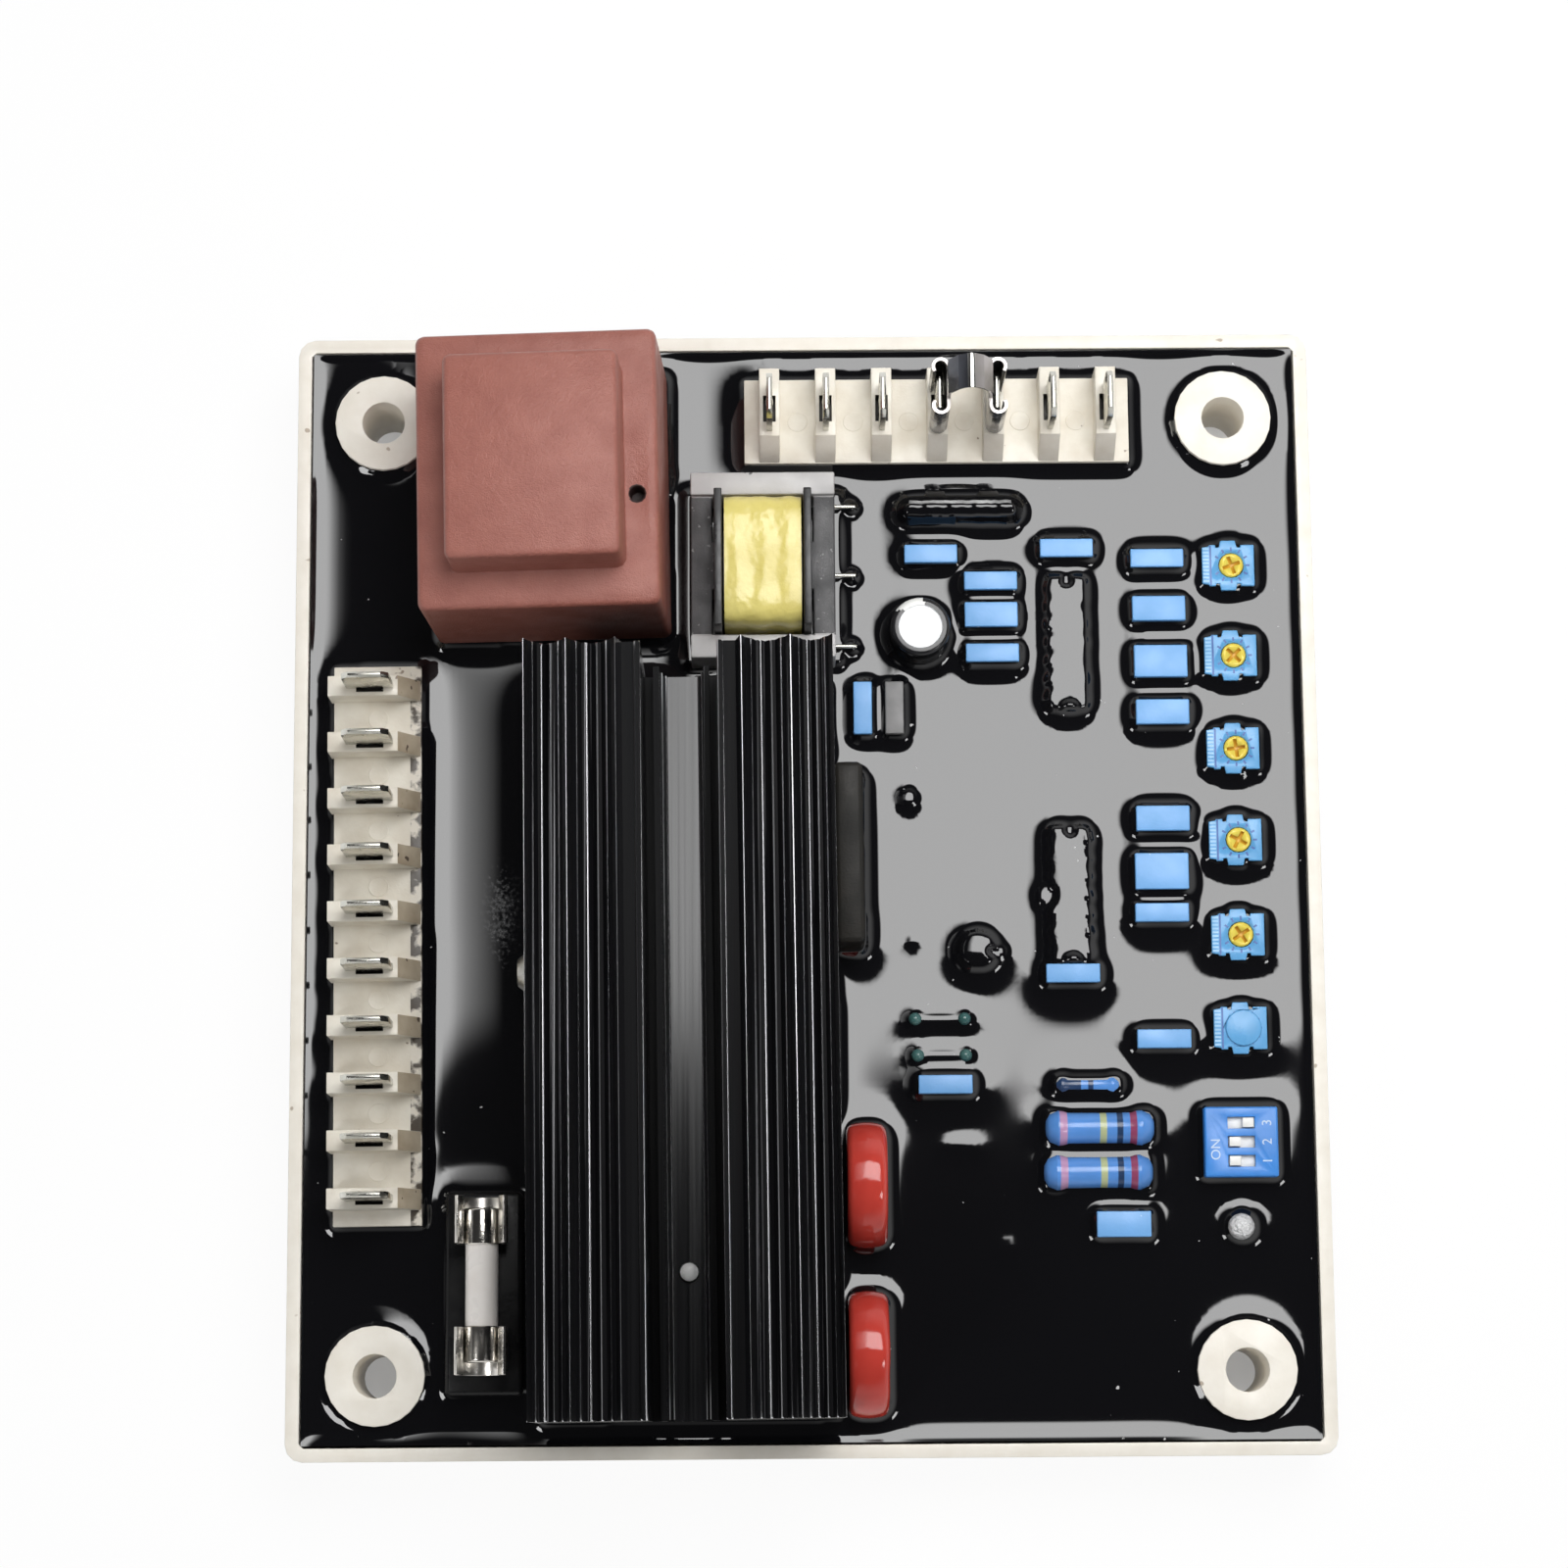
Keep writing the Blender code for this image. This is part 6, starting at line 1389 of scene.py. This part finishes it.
def trimmer_case(number):
    """A trimmer's case with its fine marks."""
    node = "trimmer_body_" + str(number)
    left, centre = node_box(node)[0].x, dial_centre(number)
    bm = from_node(node, 0.0, dissolve=False)
    outer = [edge for edge in sharp_edges(bm.edges, 25.0)
             if max((vert.co.xy - centre.xy).length for vert in edge.verts) > 2.0]
    round_edges(bm, outer, 0.10, 2)
    under = TRIMMER_TOP - 0.5
    # Painted shade on the groove and the ticks, painted highlight on the comb's ribs.
    groove = (left + 1.02, centre.y - 2.75, under), (left + 1.27, centre.y + 2.75, TRIMMER_TOP + 0.02)
    add_block(bm, *groove, material=1)
    for rib in range(10):
        y = centre.y - 2.35 + rib * 0.5
        add_block(bm, (left + 0.10, y, under), (left + 0.92, y + 0.28, TRIMMER_TOP + 0.06), material=2)
    for tick in range(11):
        turn = Matrix.Rotation(math.radians(-150 + tick * 30), 4, "Z")
        verts = add_block(bm, (1.95, -0.13, -0.5), (2.5, 0.13, 0.02), material=1)
        bmesh.ops.transform(bm, verts=verts, matrix=Matrix.Translation(centre) @ turn)
    finish_piece("trimmer_case_" + str(number), bm, [trimmer_blue, trimmer_painted_shade, trimmer_painted_highlight],
                 [node])


# %% [markdown]
# ## Trimmer rotors
#
# The rotor turns, so it rides on a body of its own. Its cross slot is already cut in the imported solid. The
# faces that lie deep in the slot get a darker gold, as no light reaches them. The sixth trimmer is sealed
# with a disc and has no free rotor.

# %% Yellow rotors with a darker slot
rotor_yellow = moulded_finish("rotor_yellow", (0.80, 0.66, 0.10), (0.72, 0.54, 0.06), 0.28, 0.45,
                              (500.0, 2600.0, 0.03))
rotor_gold = moulded_finish("rotor_slot", (0.62, 0.34, 0.02), (0.50, 0.25, 0.015), 0.35, 0.5)


def trimmer_dial(number):
    """A rotor whose deep faces are darker, riding on its own body."""
    node, centre = "trimmer_rotor_" + str(number), dial_centre(number)
    top = node_box(node)[1].z
    bm = from_node(node, 0.0, dissolve=False)
    for face in bm.faces:
        spot = face.calc_center_median()
        if (spot.xy - centre.xy).length < 1.5 and top - 1.0 < spot.z < top - 0.02:
            face.material_index = 1
    finish_piece("trimmer_dial_" + str(number), bm, [rotor_yellow, rotor_gold], [node],
                 body="rotor_" + str(number))


for number in range(1, 7):
    trimmer_case(number)
    if number < 6:
        trimmer_dial(number)

# %% [markdown]
# ## Switch lettering
#
# The switch has ON and the numbers 1 to 3 printed on it. Letters start as a text curve, which is made a
# mesh before it is placed, and joins the switch's own mesh with a finish of its own. The print reads from
# the right-hand side of the board, so it is turned by a quarter.

# %% Printed letters
def add_lettering(bm, text, height, place, material):
    """Printed letters as a thin mesh, their middle at a place, turned a quarter to the left."""
    curve = bpy.data.curves.new("letters", "FONT")
    curve.body, curve.size, curve.extrude = text, height * 1.38, 0.01
    curve.align_x, curve.align_y = "CENTER", "CENTER"
    letters = bpy.data.objects.new("letters", curve)
    bpy.context.scene.collection.objects.link(letters)
    bpy.context.view_layer.update()
    mesh = bpy.data.meshes.new_from_object(letters.evaluated_get(bpy.context.evaluated_depsgraph_get()))
    bpy.data.objects.remove(letters)
    known_verts, known_faces = set(bm.verts), set(bm.faces)
    bm.from_mesh(mesh)
    for face in bm.faces:
        if face not in known_faces:
            face.material_index = material
    fresh = [vert for vert in bm.verts if vert not in known_verts]
    placed = Matrix.Translation(place) @ Matrix.Rotation(math.pi / 2, 4, "Z")
    bmesh.ops.transform(bm, verts=fresh, matrix=placed)


# %% [markdown]
# ## Switch
#
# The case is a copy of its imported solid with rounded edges. The three sliders are copies too, and each
# rides on a body of its own, because it slides.

# %% Case and sliders
LETTER_HEIGHT = 1.3
LETTERS = (("ON", 53.9, -36.1), ("3", 60.75, -32.6), ("2", 60.75, -35.1), ("1", 60.75, -37.65))
switch_blue = moulded_finish("switch_blue", (0.045, 0.24, 0.68), (0.035, 0.20, 0.58), 0.28, 0.42,
                             (500.0, 2600.0, 0.02))
switch_print = moulded_finish("switch_print", (0.55, 0.66, 0.80), (0.45, 0.56, 0.72), 0.4, 0.5)
slider_white = moulded_finish("slider_white", (0.80, 0.80, 0.78), (0.70, 0.70, 0.67), 0.3, 0.45)
print_level = node_box("dip_switch_body")[1].z + 0.01
bm = from_node("dip_switch_body", 0.10, 2)
for text, x, y in LETTERS:
    add_lettering(bm, text, LETTER_HEIGHT, (x, y, print_level), 1)
finish_piece("switch_case", bm, [switch_blue, switch_print], ["dip_switch_body"])
for number in range(1, 4):
    node = "dip_slider_" + str(number)
    finish_piece("switch_knob_" + str(number), from_node(node, 0.06, 2), [slider_white],
                 [node], body="switch_slider_" + str(number))

# %% [markdown]
# ## Resistors: lacquer with bands
#
# The resistors are blue lacquered bodies with colour bands. A band is a stretch of the X axis, so the
# distance from its middle decides how much of its colour shows. The soft change at its ends looks like
# paint. The bands' places are in the model's frame, as the pieces sit at their true place.

# %% Lacquer with colour bands
def band_finish(name, base, bands, smooth=0.12):
    """A lacquer with colour bands across X, each given as its place, half width and colour."""
    made, tree, principled = start_finish(name, base, smooth)
    darker = tuple(value * 0.8 for value in base)
    surface = add_group(tree, mottling, Colour=base, Darker=darker, Scale=300.0, Amount=0.6, Smooth=smooth,
                        Rough=smooth + 0.14)
    place = tree.nodes.new("ShaderNodeTexCoord")
    parts = tree.nodes.new("ShaderNodeSeparateXYZ")
    tree.links.new(place.outputs["Object"], parts.inputs["Vector"])
    painted = surface.outputs["Colour"]
    for middle, half, colour in bands:
        away = calculate(tree, "ABSOLUTE", calculate(tree, "SUBTRACT", parts.outputs["X"], middle * MM))
        share = to_range(tree, away, (half - 0.06) * MM, (half + 0.06) * MM, 0.85, 0.0)
        painted = blend_colours(tree, share, painted, colour)
    show(tree, principled, painted, surface.outputs["Roughness"])
    add_relief(tree, principled, 160.0, 900.0, 0.4, 0.05)
    return made


LACQUER = (0.10, 0.28, 0.68)
BANDS = [(33.8, 0.5, (0.55, 0.28, 0.42)), (39.1, 0.45, (0.50, 0.52, 0.20)), (41.3, 0.4, (0.01, 0.01, 0.02)),
         (43.1, 0.45, (0.30, 0.02, 0.03))]
SMALL_BANDS = [(34.6, 1.7, (0.01, 0.012, 0.03)), (37.6, 0.35, (0.01, 0.01, 0.03))]
banded = band_finish("resistor_lacquer", LACQUER, BANDS)
small_banded = band_finish("resistor_lacquer_small", LACQUER, SMALL_BANDS)

# %% [markdown]
# ## Resistors: bodies
#
# Under the lacquer sit two metal end caps on a thinner rod, so a body is waisted: thick and rounded at the
# ends, slimmer between them. The half profile is drawn once and mirrored, then spun round X.

# %% Three waisted bodies
for number, lacquer in ((1, banded), (2, banded), (3, small_banded)):
    node = "resistor_" + str(number)
    low, high = node_box(node)
    reach, rim = (high.x - low.x) / 2, (high.z - low.z) / 2
    cap, waist = reach * 0.42, rim * 0.86
    half = [(0.0, reach), (rim * 0.45, reach - 0.05 * rim), (rim * 0.8, reach - 0.25 * rim),
            (rim * 0.98, reach - 0.7 * rim), (rim, reach - cap * 0.55), (rim * 0.97, reach - cap * 0.8),
            (waist + 0.02 * rim, reach - cap)]
    profile = [(radius, -height) for radius, height in half] + [(waist, 0.0)] + half[::-1]
    bm = bmesh.new()
    add_turned(bm, profile, (low + high) / 2, axis="X", steps=40)
    finish_piece("resistor_body_" + str(number), bm, [lacquer], [node], sharp=60.0)

# %% [markdown]
# ## Lamp
#
# The indicator lamp is a clear domed lens over a pale cup. A perfectly clear lens would show only black
# resin through it, yet the real one sparkles, so the lens is given a near-white colour as painted highlight:
# only a third of it is glass, and a coarse relief breaks up what it mirrors. The cup inside is a small turned
# dish.

# %% Lens
# Painted highlight: the clear lens has a near-white base colour.
lamp_lens_painted_highlight, tree, principled = start_finish("lamp_lens_painted_highlight", (0.95, 0.95, 0.96), 0.03,
                                            transmission_weight=0.3, ior=1.5)
add_relief(tree, principled, 900.0, 2600.0, 0.9, 0.5)
low, high = node_box("indicator_lamp")
middle, radius = (low + high) / 2, (high.x - low.x) / 2
profile = [(0.0, RESIN_TOP - 1.5), (radius, RESIN_TOP - 1.5), (radius, high.z - radius)]
profile += arc((0.0, high.z - radius), radius, 0, 90, 10)
bm = bmesh.new()
add_turned(bm, profile, (middle.x, middle.y, 0.0), steps=48)
finish_piece("lamp_lens", bm, [lamp_lens_painted_highlight], ["indicator_lamp"])

# %% Cup in the lens
cup_radius = radius - 0.35
CUP = [(0.0, -1.2), (cup_radius, -1.2), (cup_radius, 0.6), (1.0, 1.1), (0.85, 1.1), (0.45, 0.75),
       (0.0, 0.75)]
lamp_pale = moulded_finish("lamp_pale", (0.96, 0.96, 0.96), (0.78, 0.79, 0.80), 0.15, 0.35,
                           (700.0, 2600.0, 0.4))
bm = bmesh.new()
add_turned(bm, [(reach, RESIN_TOP + rise) for reach, rise in CUP], (middle.x, middle.y, 0.0), steps=40)
finish_piece("lamp_cup", bm, [lamp_pale])

# %% [markdown]
# ## Pins of the winding
#
# The ends of the winding come out on the right of the core as three short tinned pins, each on its own
# little foot of resin. A pin is a thin turned rod with a rounded end, laid along X.

# %% Three pins
PIN = [(0.0, -1.9), (0.28, -1.9), (0.28, 0.95), (0.20, 1.1), (0.0, 1.15)]
bm = bmesh.new()
for y, rise in ((51.66, 2.9), (42.1, 2.9), (32.3, 2.7)):
    add_turned(bm, PIN, (5.9, y, RESIN_TOP + rise), axis="X", steps=20)
finish_piece("winding_pins", bm, [tinned])

# %% [markdown]
# ## Tape round the winding
#
# The winding is wrapped in thin yellow tape that crosses the window of the core in three lanes. Tape pulled
# over wire is never flat: it bulges between the flanges and wrinkles at the corners. A block is subdivided
# into a fine grid, its section is rounded, and then a cosine makes the lanes and noise the wrinkles. All of
# this only pushes inwards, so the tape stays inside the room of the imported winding.

# %% Yellow tape finish
tape, tree, principled = start_finish("tape_yellow", (0.80, 0.74, 0.24), 0.2)
surface = add_group(tree, mottling, Colour=(0.72, 0.63, 0.21), Darker=(0.56, 0.46, 0.10), Scale=160.0,
                    Amount=0.55, Smooth=0.12, Rough=0.34)
show(tree, principled, surface.outputs["Colour"], surface.outputs["Roughness"])
add_relief(tree, principled, 260.0, 1300.0, 0.5, 0.12)

# %% Wrinkled wrap
CORNER_POWER = 6.0
TAPE_CUTS = 40
low, high = node_box("coil_winding")
middle, half = (low + high) / 2, (high - low) / 2
bm = bmesh.new()
add_block(bm, low, high)
bmesh.ops.subdivide_edges(bm, edges=bm.edges[:], cuts=TAPE_CUTS, use_grid_fill=True)
for vert in bm.verts:
    offset = vert.co - middle
    out_y, out_z = abs(offset.y / half.y), abs(offset.z / half.z)
    outward = max(out_y, out_z)
    length = (out_y ** CORNER_POWER + out_z ** CORNER_POWER) ** (1 / CORNER_POWER)
    offset.y *= outward / max(length, 1e-6)
    offset.z *= outward / max(length, 1e-6)
    lanes = 0.07 * math.cos(offset.x / half.x * math.pi * 3)
    wrinkle = 0.16 * noise.noise(Vector((offset.x * 0.5, offset.y * 0.35 + 7, offset.z * 0.35)))
    ridge = 0.12 * abs(noise.noise(Vector((offset.x * 0.9, offset.y * 1.3, offset.z * 1.1))))
    push = (lanes + wrinkle - ridge - 0.30) * outward
    direction = Vector((0.0, offset.y, offset.z)).normalized()
    vert.co = middle + offset + direction * min(push, 0.0)
finish_piece("winding_tape", bm, [tape], ["coil_winding"], sharp=60.0)
